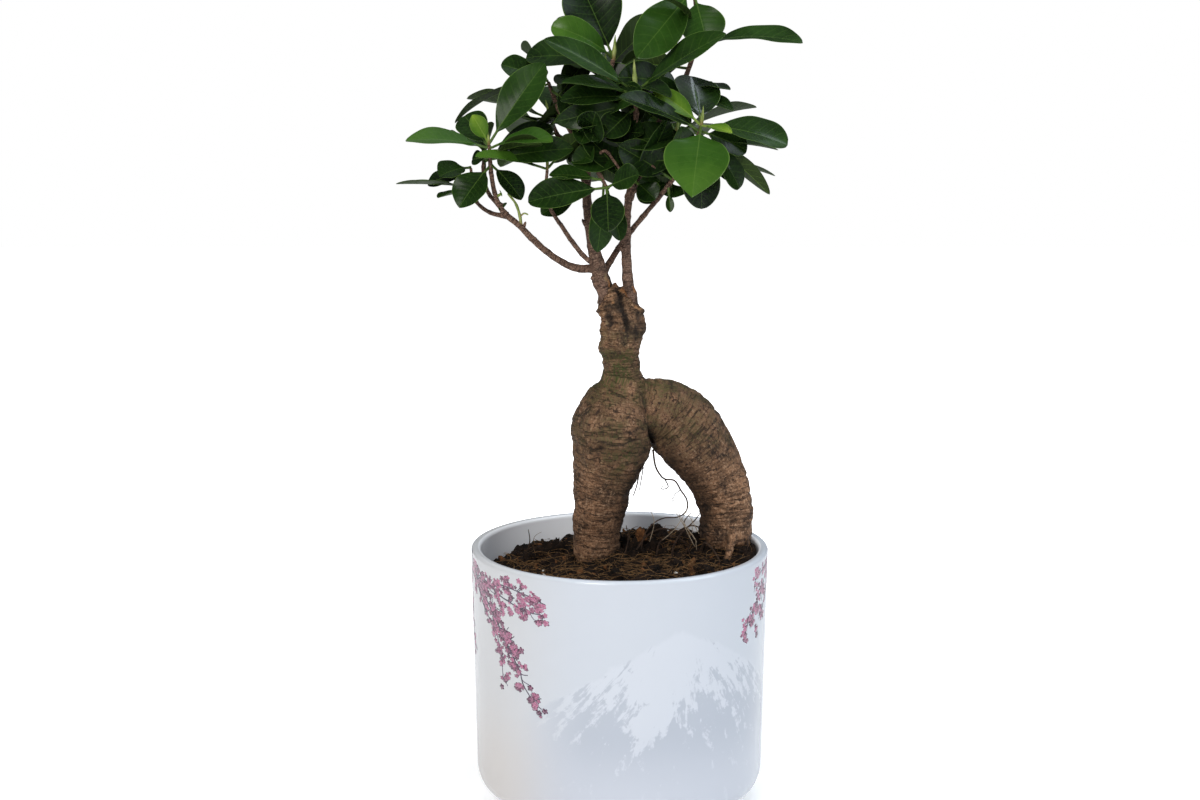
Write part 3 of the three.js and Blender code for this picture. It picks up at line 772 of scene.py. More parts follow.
limbs = {
    "left_stem": [[(-5.5, 0, 240, 4.6), (-8.2, 0, 248, 4.2), (-10.2, 0.5, 256, 3.4), (-12.5, 1, 266, 2.7),
                   (-14.6, 2, 280, 2.2), (-15.4, 3, 292, 2), (-14.5, 4, 304, 1.7), (-11, 5, 320, 1.5),
                   (-6.5, 6, 336, 1.3), (-3, 6, 350, 1)]],
    "right_stem": [[(5.4, -1.5, 233, 4.4), (4.6, -1.5, 241, 3.3), (3.3, -1, 254, 2.4), (2.8, -1, 268, 2.3),
                    (3, -1, 279, 2), (4.6, -1, 290, 1.7), (6.2, -2, 305, 1.5), (7, -5, 321, 1.2),
                    (6.6, -9, 334, 1)]],
    "long_left_branch": [
        [(-9, 1, 255, 2), (-14, 1, 254.6, 1.9), (-20.7, 0, 255, 1.8), (-28, -2, 258.6, 1.6),
         (-37, -4, 265.5, 1.5),
         (-46, -6, 274.6, 1.4), (-52.8, -7, 280.6, 1.3), (-56.5, -8, 288, 1.1), (-58.3, -9, 299, 1),
         (-59, -9.5, 311, 0.8)],
        [(-51, -6.8, 279, 1.1), (-57, -5, 279.6, 1), (-63, -2, 282.5, 0.9), (-67, 1, 288, 0.8),
         (-68.5, 3, 301, 0.7)],
        [(-54, -7.4, 283, 1), (-60, -2, 289, 0.9), (-63, 6, 298, 0.8), (-63, 13, 309, 0.7)],
    ],
    "inner_left_branch": [[(-9.8, 0, 256, 1.3), (-15.5, -1.5, 259.5, 1.2), (-20.7, -3, 265.5, 1.1),
                           (-26.5, -5, 274, 1), (-31, -7, 281, 0.9), (-33.5, -8, 289, 0.8),
                           (-33, -8, 300, 0.7)]],
    "upper_left_branch": [[(-14.5, 4, 301, 1.4), (-20, 6, 313, 1.3), (-28, 8, 327, 1.1), (-33, 7, 340, 0.8)]],
    "cross_branch": [
        [(-9.2, 1.5, 250, 1.7), (-4.5, 5, 257.5, 1.5), (0, 6, 264.5, 1.4), (5, 6, 271.5, 1.3),
         (12, 5, 280, 1.2), (19, 3, 288.5, 1.1), (27, -2, 299, 1), (33, -8, 309, 0.9), (36, -13, 319, 0.8)],
        [(17, 3.4, 286.5, 0.9), (22, 9, 293, 0.8), (27, 14, 301, 0.7)],
    ],
    "right_top_branch": [[(5.6, -1.6, 298, 1.4), (12, 5, 311, 1.3), (21, 9, 327, 1.1), (31, 10, 344, 1.1),
                          (35, 7, 362, 1), (33, 1, 380, 0.8)]],
    "back_left_branch": [[(-15.2, 3.2, 294, 1.5), (-21, 13, 304, 1.3), (-28, 24, 314, 1.1),
                          (-33, 33, 325, 0.8)]],
    "back_top_branch": [[(-10.5, 5.2, 322, 1.3), (-9, 16, 333, 1.1), (-7, 26, 346, 0.8)]],
    "back_right_branch": [[(4.2, -1, 287, 1.5), (9, 11, 297, 1.3), (18, 23, 307, 1.1), (27, 33, 318, 0.8)]],
    "front_twig": [[(-14.6, 4, 302, 0.9), (-12, -4, 300.5, 0.8), (-9, -11, 297, 0.8),
                    (-6.2, -17, 291.5, 0.7)]],
}


# Bark: uneven tone, lighter and darker specks, dark in the wrinkles and lines, then moss, painted shade and
# dark patches, and scars / where the marks say (shade and patches, moss, scar)
def makeWoodMaterial(name, dark, mid, light, size, wrinkleDepth, moss=None):
    material, tree, principled = newMaterial(name, {"Specular IOR Level": 0.3})
    flow = attribute(tree, "flow")
    shadeAndPatches, mossy, scarred = split(tree, attribute(tree, "marks"))
    grain = addNode(tree, "Group", {"Flow": flow, "Size": size}, node_tree=limbGrain).outputs
    tone = uneven(tree, objectPlace(tree), 230.0 * size, dark, mid)
    colour = blendColours(tree, between(tree, grain["Patch"], 0.36, 0.60), tone, mid)
    fine = timesAdd(tree, noise(tree, flow, 1900.0 * size, 2.0, 0.6), 0.5, grain["Speck"])
    colour = blendColours(tree, between(tree, fine, 0.76, 0.95, 0.0, 0.62), colour, light)
    colour = blendColours(tree, between(tree, fine, 0.75, 0.56, 0.0, 0.75), colour, dark)
    colour = blendColours(tree, between(tree, grain["Wrinkle"], 0.5, 0.0, 0.0, 0.55), colour, dark)
    colour = blendColours(tree, times(tree, grain["Line"], 0.8), colour, dark)
    if moss is not None:
        green = times(tree, mossy, between(tree, grain["Speck"], 0.35, 0.6))
        colour = blendColours(tree, green, colour, moss)
    # dark colour where the marks say: painted shade on the rootstock, real dark patches near the grafts
    colour = blendColours(tree, times(tree, shadeAndPatches, 0.9), colour, woodMarks["shadeAndPatches"])
    cut = blendColours(tree, between(tree, grain["Patch"], 0.42, 0.56), *woodMarks["scar"])
    colour = blendColours(tree, between(tree, scarred, 0.3, 0.9, 0.0, 0.85), colour, cut)
    rough = between(tree, grain["Speck"], 0.3, 0.7, *woodMarks["roughness"])
    relief = bump(tree, grain["Height"], 0.8, wrinkleDepth)
    feed(tree, principled, colour=colour, roughness=rough, normal=relief)
    return material


woodMarks = {
    # one dark colour for painted shade and for dark patches
    "shadeAndPatches": tint(22, 17, 13),
    "scar": (tint(150, 102, 62), tint(150, 130, 100)),
    "roughness": (0.62, 0.86),
}
bark = makeWoodMaterial(
    "rootBark",
    dark=tint(34, 22, 15),
    mid=tint(140, 104, 76),
    light=tint(190, 156, 126),
    size=1.0,
    wrinkleDepth=0.0011,
    moss=tint(70, 72, 36),
)
twigBark = makeWoodMaterial(
    "twigBark",
    dark=tint(52, 36, 29),
    mid=tint(120, 92, 76),
    light=tint(168, 142, 122),
    size=1.7,
    wrinkleDepth=0.0004,
)

rootstock = {
    "voxel": 0.72,
    "smoothing": 14,
    "hump": 1.1,  # broad unevenness, mm
    "wrinkle": 0.42,
    "fineLines": 0.32,
    "pit": 0.16,
    # cracks across a leg: leg, height, how far round from the front in degrees, half spread, depth
    "cracks": [("left", 176.5, 8, 46, 0.8), ("left", 181.5, 30, 38, 0.45), ("left", 165.0, -25, 30, 0.35),
               ("left", 138.0, 20, 60, 0.4), ("left", 127.0, -10, 70, 0.4), ("right", 143.5, -6, 52, 0.7),
               ("right", 139.5, 25, 45, 0.55), ("right", 133.0, -20, 60, 0.35),
               ("right", 152.0, 10, 45, 0.35)],
    "crackHalf": 0.55,
    "knot": (-8.6, 174.0),  # x and height of a branch scar on the front of the left leg
    "knotDepth": 0.9,
    "crease": (1.5, 3.2),  # half width and depth where the legs meet
    "graft": (218, 232),  # heights over which the root turns into grafted wood
    "cleft": (2.6, 232, 1.1, 1.8),  # x, height, half width and depth of the split in the graft
    "callus": (9, 227, 5.5, 1.6),  # x, height, half width and rise of the healed stub on its right
    "swelling": (-7, 218, 3.5, 1.2),
    "waist": (208, 4.5, 0.8),  # height, half width and depth
    "steps": 160,  # points along a leg's middle line
}


# Nearest point of each leg's middle line: how far along, how far outside its skin, and the point's place in
# the leg's own section
def followLegs(points):
    best = np.full(len(points), 1e9)
    flow = np.zeros_like(points)
    outside = {}
    for name, knots in legs.items():
        path, length = smoothPath(knots, rootstock["steps"])
        side, other = framesAlong(path[:, :3])
        gap = np.linalg.norm(points[:, None] - path[None, :, :3], axis=2)
        near = (gap - path[None, :, 3]).argmin(1)
        away = points - path[near, :3]
        beyond = gap[np.arange(len(points)), near] - path[near, 3]
        outside[name] = beyond
        local = np.stack([(away * side[near]).sum(1), (away * other[near]).sum(1)], 1)
        here = np.column_stack([local, near / (rootstock["steps"] - 1) * length])
        closer = beyond < best
        flow[closer] = here[closer]
        best = np.minimum(best, beyond)
    return flow, outside


# Mesh of the legs, neck and side roots, merged by voxels and smoothed
def meltLegs():
    parts = [tube(knots, 1.6, 48)[0] for knots in legs.values()]
    parts += [tube(knots, 1.2, 20)[0] for knots in sideRoots]
    body = joinSkins([skin(part[None]) for part in parts])
    rough = bpy.data.objects.new("roughRootstock", meshFrom("roughRootstock", *body))
    scene.collection.objects.link(rough)
    remesh = rough.modifiers.new("melt", "REMESH")
    remesh.mode, remesh.voxel_size, remesh.use_smooth_shade = "VOXEL", rootstock["voxel"] * mm, True
    smooth = rough.modifiers.new("smooth", "SMOOTH")
    smooth.factor, smooth.iterations = 0.5, rootstock["smoothing"]
    ready = rough.evaluated_get(bpy.context.evaluated_depsgraph_get())
    mesh = bpy.data.meshes.new_from_object(ready)
    bpy.data.objects.remove(rough)
    mesh.name = "barkedRootstock"
    return mesh


# Cracks: a bell across the height, which wanders with the angle round the leg, and faded out past the spread.
# Gives how deep they are and how much painted shade darkens them.
def legCracks(points, outside):
    x, y, z = points.T
    depths, dark = np.zeros(len(points)), np.zeros(len(points))
    for leg, height, turn, spread, depth in rootstock["cracks"]:
        path = smoothPath(legs[leg], rootstock["steps"])[0]
        middle = path[np.abs(path[:, 2] - height).argmin()]
        around = np.degrees(np.arctan2(x - middle[0], -(y - middle[1])))
        level = z - height - 1.1 * softNoise(np.stack([around / 14, 0 * around, 0 * around], 1), 1, 5)
        groove = bell(level, rootstock["crackHalf"]) * ease(np.abs(around - turn), spread, spread * 0.4)
        groove *= ease(outside[leg], 2.5, 1.2)
        depths += depth * groove
        dark = np.maximum(dark, groove * min(1, depth * 1.4))
    return depths, dark


# The two legs and the neck as one body: humps, wrinkles across the legs, pits, cracks, a knot, the crease
# between the legs and the graft's cleft, callus and waist are pressed into the surface along its normals
def makeRootstock():
    look = rootstock
    mesh = meltLegs()
    points, normals = np.zeros(len(mesh.vertices) * 3), np.zeros(len(mesh.vertices) * 3)
    mesh.vertices.foreach_get("co", points)
    mesh.vertices.foreach_get("normal", normals)
    points, normals = points.reshape(-1, 3) / mm, normals.reshape(-1, 3)
    flow, outside = followLegs(points)
    x, _, z = points.T
    front = ease(-normals[:, 1], 0.0, 0.5)
    graft = ease(z, *look["graft"])
    lift = look["hump"] * layeredNoise(points, 13, 1) + 1.7 * graft * layeredNoise(points, 4.2, 4)
    lift += 0.45 * ease(z, 205, 222) * np.abs(layeredNoise(points, 2.2, 90))
    lines = layeredNoise(flow * np.array([0.13, 0.13, 1.0]), 1.5, 8, 3)
    lift += look["wrinkle"] * (lines - 0.9 * np.clip(lines - 0.35, 0, 1)) * (1 - 0.5 * graft)
    lift -= look["fineLines"] * bell(layeredNoise(flow * np.array([0.11, 0.11, 1.0]), 4.2, 77, 2), 0.12)
    lift -= look["pit"] * np.clip(layeredNoise(points, 1.7, 21), 0, 1)
    crackDepths, cracked = legCracks(points, outside)
    lift -= crackDepths
    knotX, knotHeight = look["knot"]
    ring = np.hypot(x - knotX, 1.4 * (z - knotHeight)) * front + 99 * (1 - front)
    lift += look["knotDepth"] * (bell(ring - 3.4, 1.3) - bell(ring, 2.0))
    creaseHalf, creaseDepth = look["crease"]
    crease = bell(outside["left"] - outside["right"], creaseHalf) * ease(z, 187, 174) * ease(z, 140, 150)
    cleftX, cleftHeight, cleftHalf, cleftDepth = look["cleft"]
    cleft = bell(x - cleftX + 0.25 * (z - cleftHeight), cleftHalf) * ease(z, 224, 230) * front
    lift -= creaseDepth * crease + cleftDepth * cleft
    callusX, callusHeight, callusHalf, callusRise = look["callus"]
    callus = bell(np.hypot(x - callusX, z - callusHeight), callusHalf)
    swellX, swellHeight, swellHalf, swellRise = look["swelling"]
    waistHeight, waistHalf, waistDepth = look["waist"]
    lift += callusRise * callus + swellRise * bell(np.hypot(x - swellX, z - swellHeight), swellHalf)
    lift -= waistDepth * bell(z - waistHeight, waistHalf)
    points = points + normals * lift[:, None]
    mesh.vertices.foreach_set("co", (points * mm).astype(np.float32).ravel())
    mesh.update()
    # painted shade in the crease, cleft, cracks and knot pit, a darker callus, painted shade under the crown,
    # and graft patches
    black = graft * ease(layeredNoise(points, 5.5, 61), 0.05, 0.7)
    shadeAndPatches = 1.1 * crease + cleft + 0.75 * (cracked + bell(ring, 2.2) + callus) + 0.8 * black
    shadeAndPatches += 0.27 * ease(z, 150, 176) * ease(z, 206, 192)
    # painted shade under the arch, on the sides of the legs that face each other
    facing = ease(normals[:, 0], 0.25, 0.95) * ease(x, 16, 6)
    facing += ease(-normals[:, 0] - 0.4 * normals[:, 2], 0.1, 0.9) * ease(x, 18, 26)
    shadeAndPatches += 0.80 * facing * ease(z, 185, 168) * (0.8 + 0.4 * layeredNoise(points, 6, 44))
    # moss on the front of the left leg, round the neck and in spots
    mossy = np.clip(0.75 * bell(np.hypot(x - 1, z - 166), 11) + 0.6 * bell(z - 209, 9), 0, 1)
    mossy = mossy + 0.62 * ease(z, 158, 182)
    mossy *= np.clip(0.65 + layeredNoise(points, 5, 31), 0, 1) * (1 - 0.7 * graft)
    scars = graft * ease(layeredNoise(points, 3.6, 12), 0.3, 0.9) * (1 - callus)
    marks = np.stack([np.clip(shadeAndPatches, 0, 1), mossy, scars], 1)
    mesh.shade_smooth()
    attributes = {"flow": flow * mm, "marks": marks}
    addPiece("barkedRootstock", mesh, bark, attributes, ["rootstock"])
    print("rootstock made:", len(points), "points")


makeRootstock()

limbLook = {
    "step": 0.7,
    "columns": 22,
    "collar": 0.55,  # how much a limb thickens where it leaves its parent
    "collarReach": 3.4,
    "scarGap": 9.0,  # distance between the leaf scars that ring a shoot
    "scarHeight": 0.16,
    "roughness": 0.085,
}


# Limb: radius times (1 + collar at its foot + a ring at every leaf scar + roughness)
def limbTube(knots, seed, stem):
    gap = limbLook["scarGap"]

    def shape(radius, run, angle):
        place = np.stack(np.broadcast_arrays(radius * np.cos(angle), radius * np.sin(angle), run), -1)
        collar = 0.0 if stem else limbLook["collar"] * bell(run, limbLook["collarReach"])
        lean = 0.8 * np.cos(angle + seed)
        ring = bell((run + lean + gap / 2) % gap - gap / 2, 0.55) * limbLook["scarHeight"] / radius
        woody = limbLook["roughness"] * layeredNoise(place * np.array([1, 1, 0.6]), 1.6, seed)
        swell = 0.22 * ease(run, 22, 4) * layeredNoise(place, 4.5, seed + 3) if stem else 0.0
        return radius * (1 + collar + ring + woody + swell)

    return tube(knots, limbLook["step"], limbLook["columns"], shape)


# Wood of each limb: its tubes joined, with dark patches and scars near a stem's graft
def makeLimbs():
    for index, (name, lines) in enumerate(limbs.items()):
        parts = []
        stem = name.endswith("_stem")
        for order, knots in enumerate(lines):
            grid, flow = limbTube(knots, 5 * index + order, stem)
            run = flow[..., 2]
            graft = ease(run, 26, 8) if stem else 0 * run
            scars = graft * ease(layeredNoise(grid, 3.4, 12), 0.2, 0.7)
            dark = graft * ease(layeredNoise(grid, 4.0, 40), 0.1, 0.8) * 0.7
            marks = np.stack([dark, 0 * run, scars], -1)
            parts.append(skin(np.concatenate([grid, flow * mm, marks], -1)[None]))
        addSkin("wood_" + name, joinSkins(parts), twigBark, ["flow", "marks"], [name])


makeLimbs()
print("limbs made")


# Leaves

# leaf: limb, its line, place along it, tip x, y, z, width, arch, heading, rise
leaves = {
    "left_1": ("long_left_branch", 0, 0.98, -96, -14, 312, 16, 26, -90, 62),
    "left_2": ("long_left_branch", 0, 1, -34, -3, 347, 18, 14, -100, 22),
    "left_3": ("long_left_branch", 0, 0.98, -30, -18, 311.5, 14, 44, -90, 58),
    "left_4": ("long_left_branch", 0, 0.98, -71, 2, 324, 15, 20, -90, 20),
    "left_5": ("long_left_branch", 0, 0.9, -44.5, -13, 286, 12, 25, -60, 30),
    "left_6": ("long_left_branch", 0, 0.89, -72, -17, 282.5, 17, 20, -100, 40),
    "left_7": ("long_left_branch", 0, 0.92, -21, -8, 309, 14, 15, -90, 30),
    "left_8": ("long_left_branch", 1, 1, -82, -5, 296.5, 15, 30, -100, 50),
    "left_9": ("long_left_branch", 1, 0.75, -102, -4, 293.3, 12, 8, 90, 89),
    "left_10": ("long_left_branch", 2, 1, -78, 30, 316, 17, 30, 120, 60),
    "inner_1": ("inner_left_branch", 0, 1, -18, -3, 315, 11, 14, 90, 40),
    "upper_1": ("upper_left_branch", 0, 1, -54, 0, 346.5, 13, 22, -90, 30),
    "upper_2": ("upper_left_branch", 0, 0.97, -76, 8, 321, 12, 50, 90, 85),
    "upper_3": ("upper_left_branch", 0, 0.98, -46, 24, 356, 17, 25, 120, 45),
    "front_1": ("front_twig", 0, 1, -41, -22, 285, 17, 16, -90, 40),
    "front_2": ("front_twig", 0, 0.8, -32, -13, 297, 13, 18, -90, 60),
    "front_3": ("front_twig", 0, 1, 8, -25, 297, 13, 22, -80, 30),
    "front_4": ("front_twig", 0, 1, -5.5, -32, 272, 15, 30, -90, 50),
    "front_5": ("front_twig", 0, 0.86, -10.5, -11, 262.5, 12, 18, -70, 30),
    "crown_1": ("right_stem", 0, 1, -34, -16, 356, 16, 16, -90, 50),
    "crown_2": ("right_stem", 0, 1, 46, -20, 358, 18, 14, -95, 55),
    "crown_3": ("cross_branch", 0, 0.97, -1, -29, 330, 15, 18, -90, 50),
    "crown_4": ("right_stem", 0, 0.99, -26, -20, 337, 13, 16, -90, 62),
    "crown_5": ("right_stem", 0, 0.97, -27, -10, 330, 15, 26, -90, 45),
    "crown_6": ("right_top_branch", 0, 1, 7, -14, 348, 20, 20, -90, 5),
    "top_1": ("left_stem", 0, 1, -20, 8, 387, 28, 12, -80, 15),
    "top_2": ("left_stem", 0, 1, -31, -4, 363, 14, 70, -90, 20),
    "top_3": ("left_stem", 0, 0.98, -43, 6, 350, 18, 34, -90, 40),
    "top_4": ("right_top_branch", 0, 0.97, 39, -6, 354, 20, 24, -90, 5),
    "top_5": ("right_top_branch", 0, 0.73, 81, -10, 355, 17, 34, -90, 60),
    "top_6": ("right_top_branch", 0, 1, 52, 14, 400, 18, 20, -60, 30),
    "right_1": ("cross_branch", 0, 1, 31, -31, 287, 29, 20, -95, 20),
    "right_2": ("cross_branch", 0, 1, 74, -18, 310, 20, 26, -90, 55),
    "right_3": ("cross_branch", 0, 1, 14.5, -10, 334.5, 10, 34, -90, 38),
    "right_4": ("cross_branch", 0, 1, 32, 5, 342, 23, 16, -66, 16),
    "right_5": ("cross_branch", 0, 0.93, 0, -9, 312, 16, 14, -90, 35),
    "right_6": ("cross_branch", 0, 0.96, 54, -6, 291, 13, 40, -70, 30),
    "right_7": ("cross_branch", 1, 1, 72, 8, 297, 14, 34, 90, 88),
    "right_8": ("cross_branch", 1, 1, 9, 21, 286, 15, 20, -90, 30),
    "back_1": ("back_left_branch", 0, 1, -52, 68, 318, 20, 30, 120, 55),
    "back_2": ("back_left_branch", 0, 0.98, -73, 36, 334, 19, 26, 150, 60),
    "back_3": ("back_top_branch", 0, 1, -10, 68, 358, 21, 28, 90, 50),
    "back_4": ("back_top_branch", 0, 1, 20, 46, 372, 18, 22, 60, 40),
    "back_5": ("back_right_branch", 0, 1, 42, 70, 318, 20, 30, 70, 55),
    "back_6": ("back_right_branch", 0, 0.98, 66, 36, 330, 19, 26, 20, 60),
    "back_7": ("back_right_branch", 0, 1, 14, 58, 340, 18, 22, 100, 50),
}
# smaller and inner leaves with no solid of their own
sprigs = {
    "young_1": ("long_left_branch", 0, 1, -66, -14, 323.5, 8, 30, -90, 15),
    "young_2": ("cross_branch", 0, 1, 49, -22, 315, 7, 24, -90, 55),
    "young_3": ("long_left_branch", 0, 0.72, -53.5, -9, 289, 3.5, 20, -90, 30),
    "small_1": ("long_left_branch", 0, 0.95, -35, -16, 311, 13, 22, 90, 62),
    "small_2": ("long_left_branch", 1, 0.7, -83, -6, 287, 9, 10, -90, 85),
    "small_3": ("long_left_branch", 1, 0.9, -88.5, 4, 293, 8, 60, -90, 30),
    "small_4": ("long_left_branch", 0, 0.93, -67, -6, 304, 8, 20, -90, 30),
    "small_5": ("long_left_branch", 0, 0.71, -53, -7, 282.5, 5, 20, -90, 35),
    "small_6": ("left_stem", 0, 0.45, -36, -4, 279.5, 12, 20, -90, 35),
    "small_7": ("front_twig", 0, 1, 0, -20, 268, 9, 20, -90, 40),
    "small_8": ("cross_branch", 0, 0.97, 36.5, -13, 282, 17, 20, -90, 25),
    "small_9": ("cross_branch", 0, 0.97, 57, -8, 308, 14, 20, -90, 30),
    "small_10": ("cross_branch", 0, 0.9, 72, -2, 308.5, 9, 20, -90, 75),
    "small_11": ("cross_branch", 0, 0.95, 68, -5, 288.5, 10, 20, 90, 60),
    "small_12": ("cross_branch", 0, 0.93, 49.5, -2, 295, 9, 20, -90, 40),
    "small_13": ("cross_branch", 0, 0.62, 23, -2, 280.5, 4, 20, -90, 40),
    "small_14": ("cross_branch", 1, 0.7, 24, 4, 287, 13, 20, -80, 30),
    "small_15": ("right_stem", 0, 0.62, 16, -6, 286, 12, 20, -90, 35),
    "small_16": ("right_top_branch", 0, 0.80, 12.5, -33, 371.5, 10, 40, -90, 52),
    "small_17": ("right_top_branch", 0, 0.5, 50, 0, 335.5, 11, 20, -90, 75),
    "small_18": ("right_top_branch", 0, 0.5, 51, -4, 326, 10, 16, -90, 65),
    "small_19": ("right_stem", 0, 0.93, -7, -14, 314, 14, 20, -90, 30),
    "small_20": ("left_stem", 0, 0.8, -18, -8, 311, 13, 20, -90, 30),
    "small_21": ("left_stem", 0, 0.78, -8, -2, 307, 11, 16, -90, 30),
    "small_22": ("left_stem", 0, 0.96, -22, 3, 357.5, 9, 20, -90, 60),
    "small_23": ("right_stem", 0, 0.985, -25, -2, 339, 13, 34, -90, 75),
    "rear_1": ("back_left_branch", 0, 0.8, -58, 46, 302, 16, 25, 120, 50),
    "rear_2": ("back_left_branch", 0, 1, -30, 62, 342, 17, 25, 90, 55),
    "rear_3": ("back_right_branch", 0, 0.8, 42, 50, 300, 16, 25, 60, 50),
    "rear_4": ("back_right_branch", 0, 1, 46, 50, 342, 17, 25, 60, 60),
    "rear_5": ("back_top_branch", 0, 1, -30, 42, 372, 16, 25, 120, 50),
    "rear_6": ("back_top_branch", 0, 0.9, 16, 46, 338, 15, 25, 60, 40),
    "rear_7": ("left_stem", 0, 0.9, -24, 26, 350, 15, 25, 120, 45),
    "rear_8": ("left_stem", 0, 0.9, 10, 24, 354, 14, 25, 60, 45),
    "rear_9": ("left_stem", 0, 0.7, -32, 24, 322, 15, 25, 130, 40),
    "rear_10": ("right_stem", 0, 0.8, 26, 22, 322, 15, 25, 50, 40),
    "small_24": ("inner_left_branch", 0, 1, -64.5, -18, 305, 13, 20, -90, 66),
}
fill = {
    "seed": 8,
    "rows": 40,
    "columns": 30,
    "goldenAngle": 137.5,
    "rise": (-50, 55),
    "length": (27, 40),
    "width": (12, 17),
    "arch": (15, 40),
    # shoots that carry inner leaves: limb, line, where along it they start, how many
    "shoots": [
        ("left_stem", 0, 0.50, 30), ("right_stem", 0, 0.55, 24), ("right_top_branch", 0, 0.1, 18),
        ("upper_left_branch", 0, 0.2, 13), ("cross_branch", 0, 0.66, 12), ("back_left_branch", 0, 0.3, 8),
        ("back_right_branch", 0, 0.3, 8), ("back_top_branch", 0, 0.2, 8), ("cross_branch", 1, 0.3, 5),
        ("long_left_branch", 2, 0.5, 4),
    ],
    # leaf tips stay inside one of these: middle x, y, z and half widths
    "rooms": [((-1, 10, 322), (44, 36, 27)), ((0, 38, 328), (64, 44, 40))],
}
leafLook = {
    "seed": 5,
    "mostTone": 0.42,
    # inner leaves are drawn darker than the outer ones: painted shade inside the crown
    "mostInnerTone": 0.26,
    "mostGloss": 0.10,
    "young": ["right_3", "young_1", "young_2", "young_3"],
    # how strongly each kind of vein shows above and under
    "ribs": {"Veins": (0.14, 0.35), "Rim": (0.62, 0.0), "Midrib": (0.32, 0.8)},
    # how far from dark to bright a leaf is, where it isn't drawn: partly its own colour, partly painted light
    # and shade
    "tones": {
        "small_24": 1.15, "left_9": 1.1, "young_1": 0.85, "right_3": 0.8, "young_2": 0.9, "top_1": 0.0,
        "front_1": 0.15, "upper_1": 0.2, "crown_3": 0.1, "right_1": 1.0, "right_4": 0.12, "right_2": 0.35,
        "left_3": 0.8, "left_1": 0.85, "small_1": 1.1, "top_5": 0.3, "top_2": 1.0, "top_6": 0.7,
        "crown_2": 0.3, "crown_1": 0.3, "crown_6": 0.62, "top_4": 0.55, "left_2": 0.4, "small_16": 0.8,
    },
    "gloss": {
        "right_4": 1.0, "right_2": 0.25, "left_1": 1.0, "small_8": 0.4, "small_17": 0.3, "right_6": 0.3,
        "top_6": 0.4,
    },
    # exponents of the outline, towards the stalk and towards the tip
    "forms": {"right_1": (0.80, 0.98), "left_6": (0.8, 0.75), "right_2": (0.9, 0.5), "front_1": (0.85, 0.55)},
}

leafShape = {
    "rows": 54,
    "columns": 44,
    "stalkShare": 0.115,
    "stalkHalf": 0.65,
    "stalkThick": 0.55,
    "bladeThick": 0.19,
    "fold": 0.27,  # how far the edges rise, as a share of the half width
    "broadening": 0.92,  # usual exponents of the outline, towards the stalk and towards the tip
    "narrowing": 0.62,
    "point": 0.10,  # how far the tip is drawn out
    "groove": 0.16,
    "keel": 0.38,
    "quilt": 0.012,
    "sidePairs": 9.0,
    "slant": 0.17,  # how far the side veins run on towards the tip
    "ripple": 0.045,
    "twist": 7.0,
}


# Half width along a leaf: x^broadening times (1 - x)^narrowing over the blade, scaled to the width at its
# widest, and never thinner than the stalk
def leafHalf(place, width, form):
    stalk = leafShape["stalkShare"]
    broad, narrow = form
    blade = np.clip((place - stalk) / (1 - stalk), 0, 1)
    widest = broad / (broad + narrow)
    outline = blade**broad * (1 - blade) ** narrow / (widest**broad * (1 - widest) ** narrow)
    outline = outline * (1 - leafShape["point"] * ease(blade, 0.7, 1.0))
    return np.maximum(leafShape["stalkHalf"] * (1 - place), width / 2 * outline)


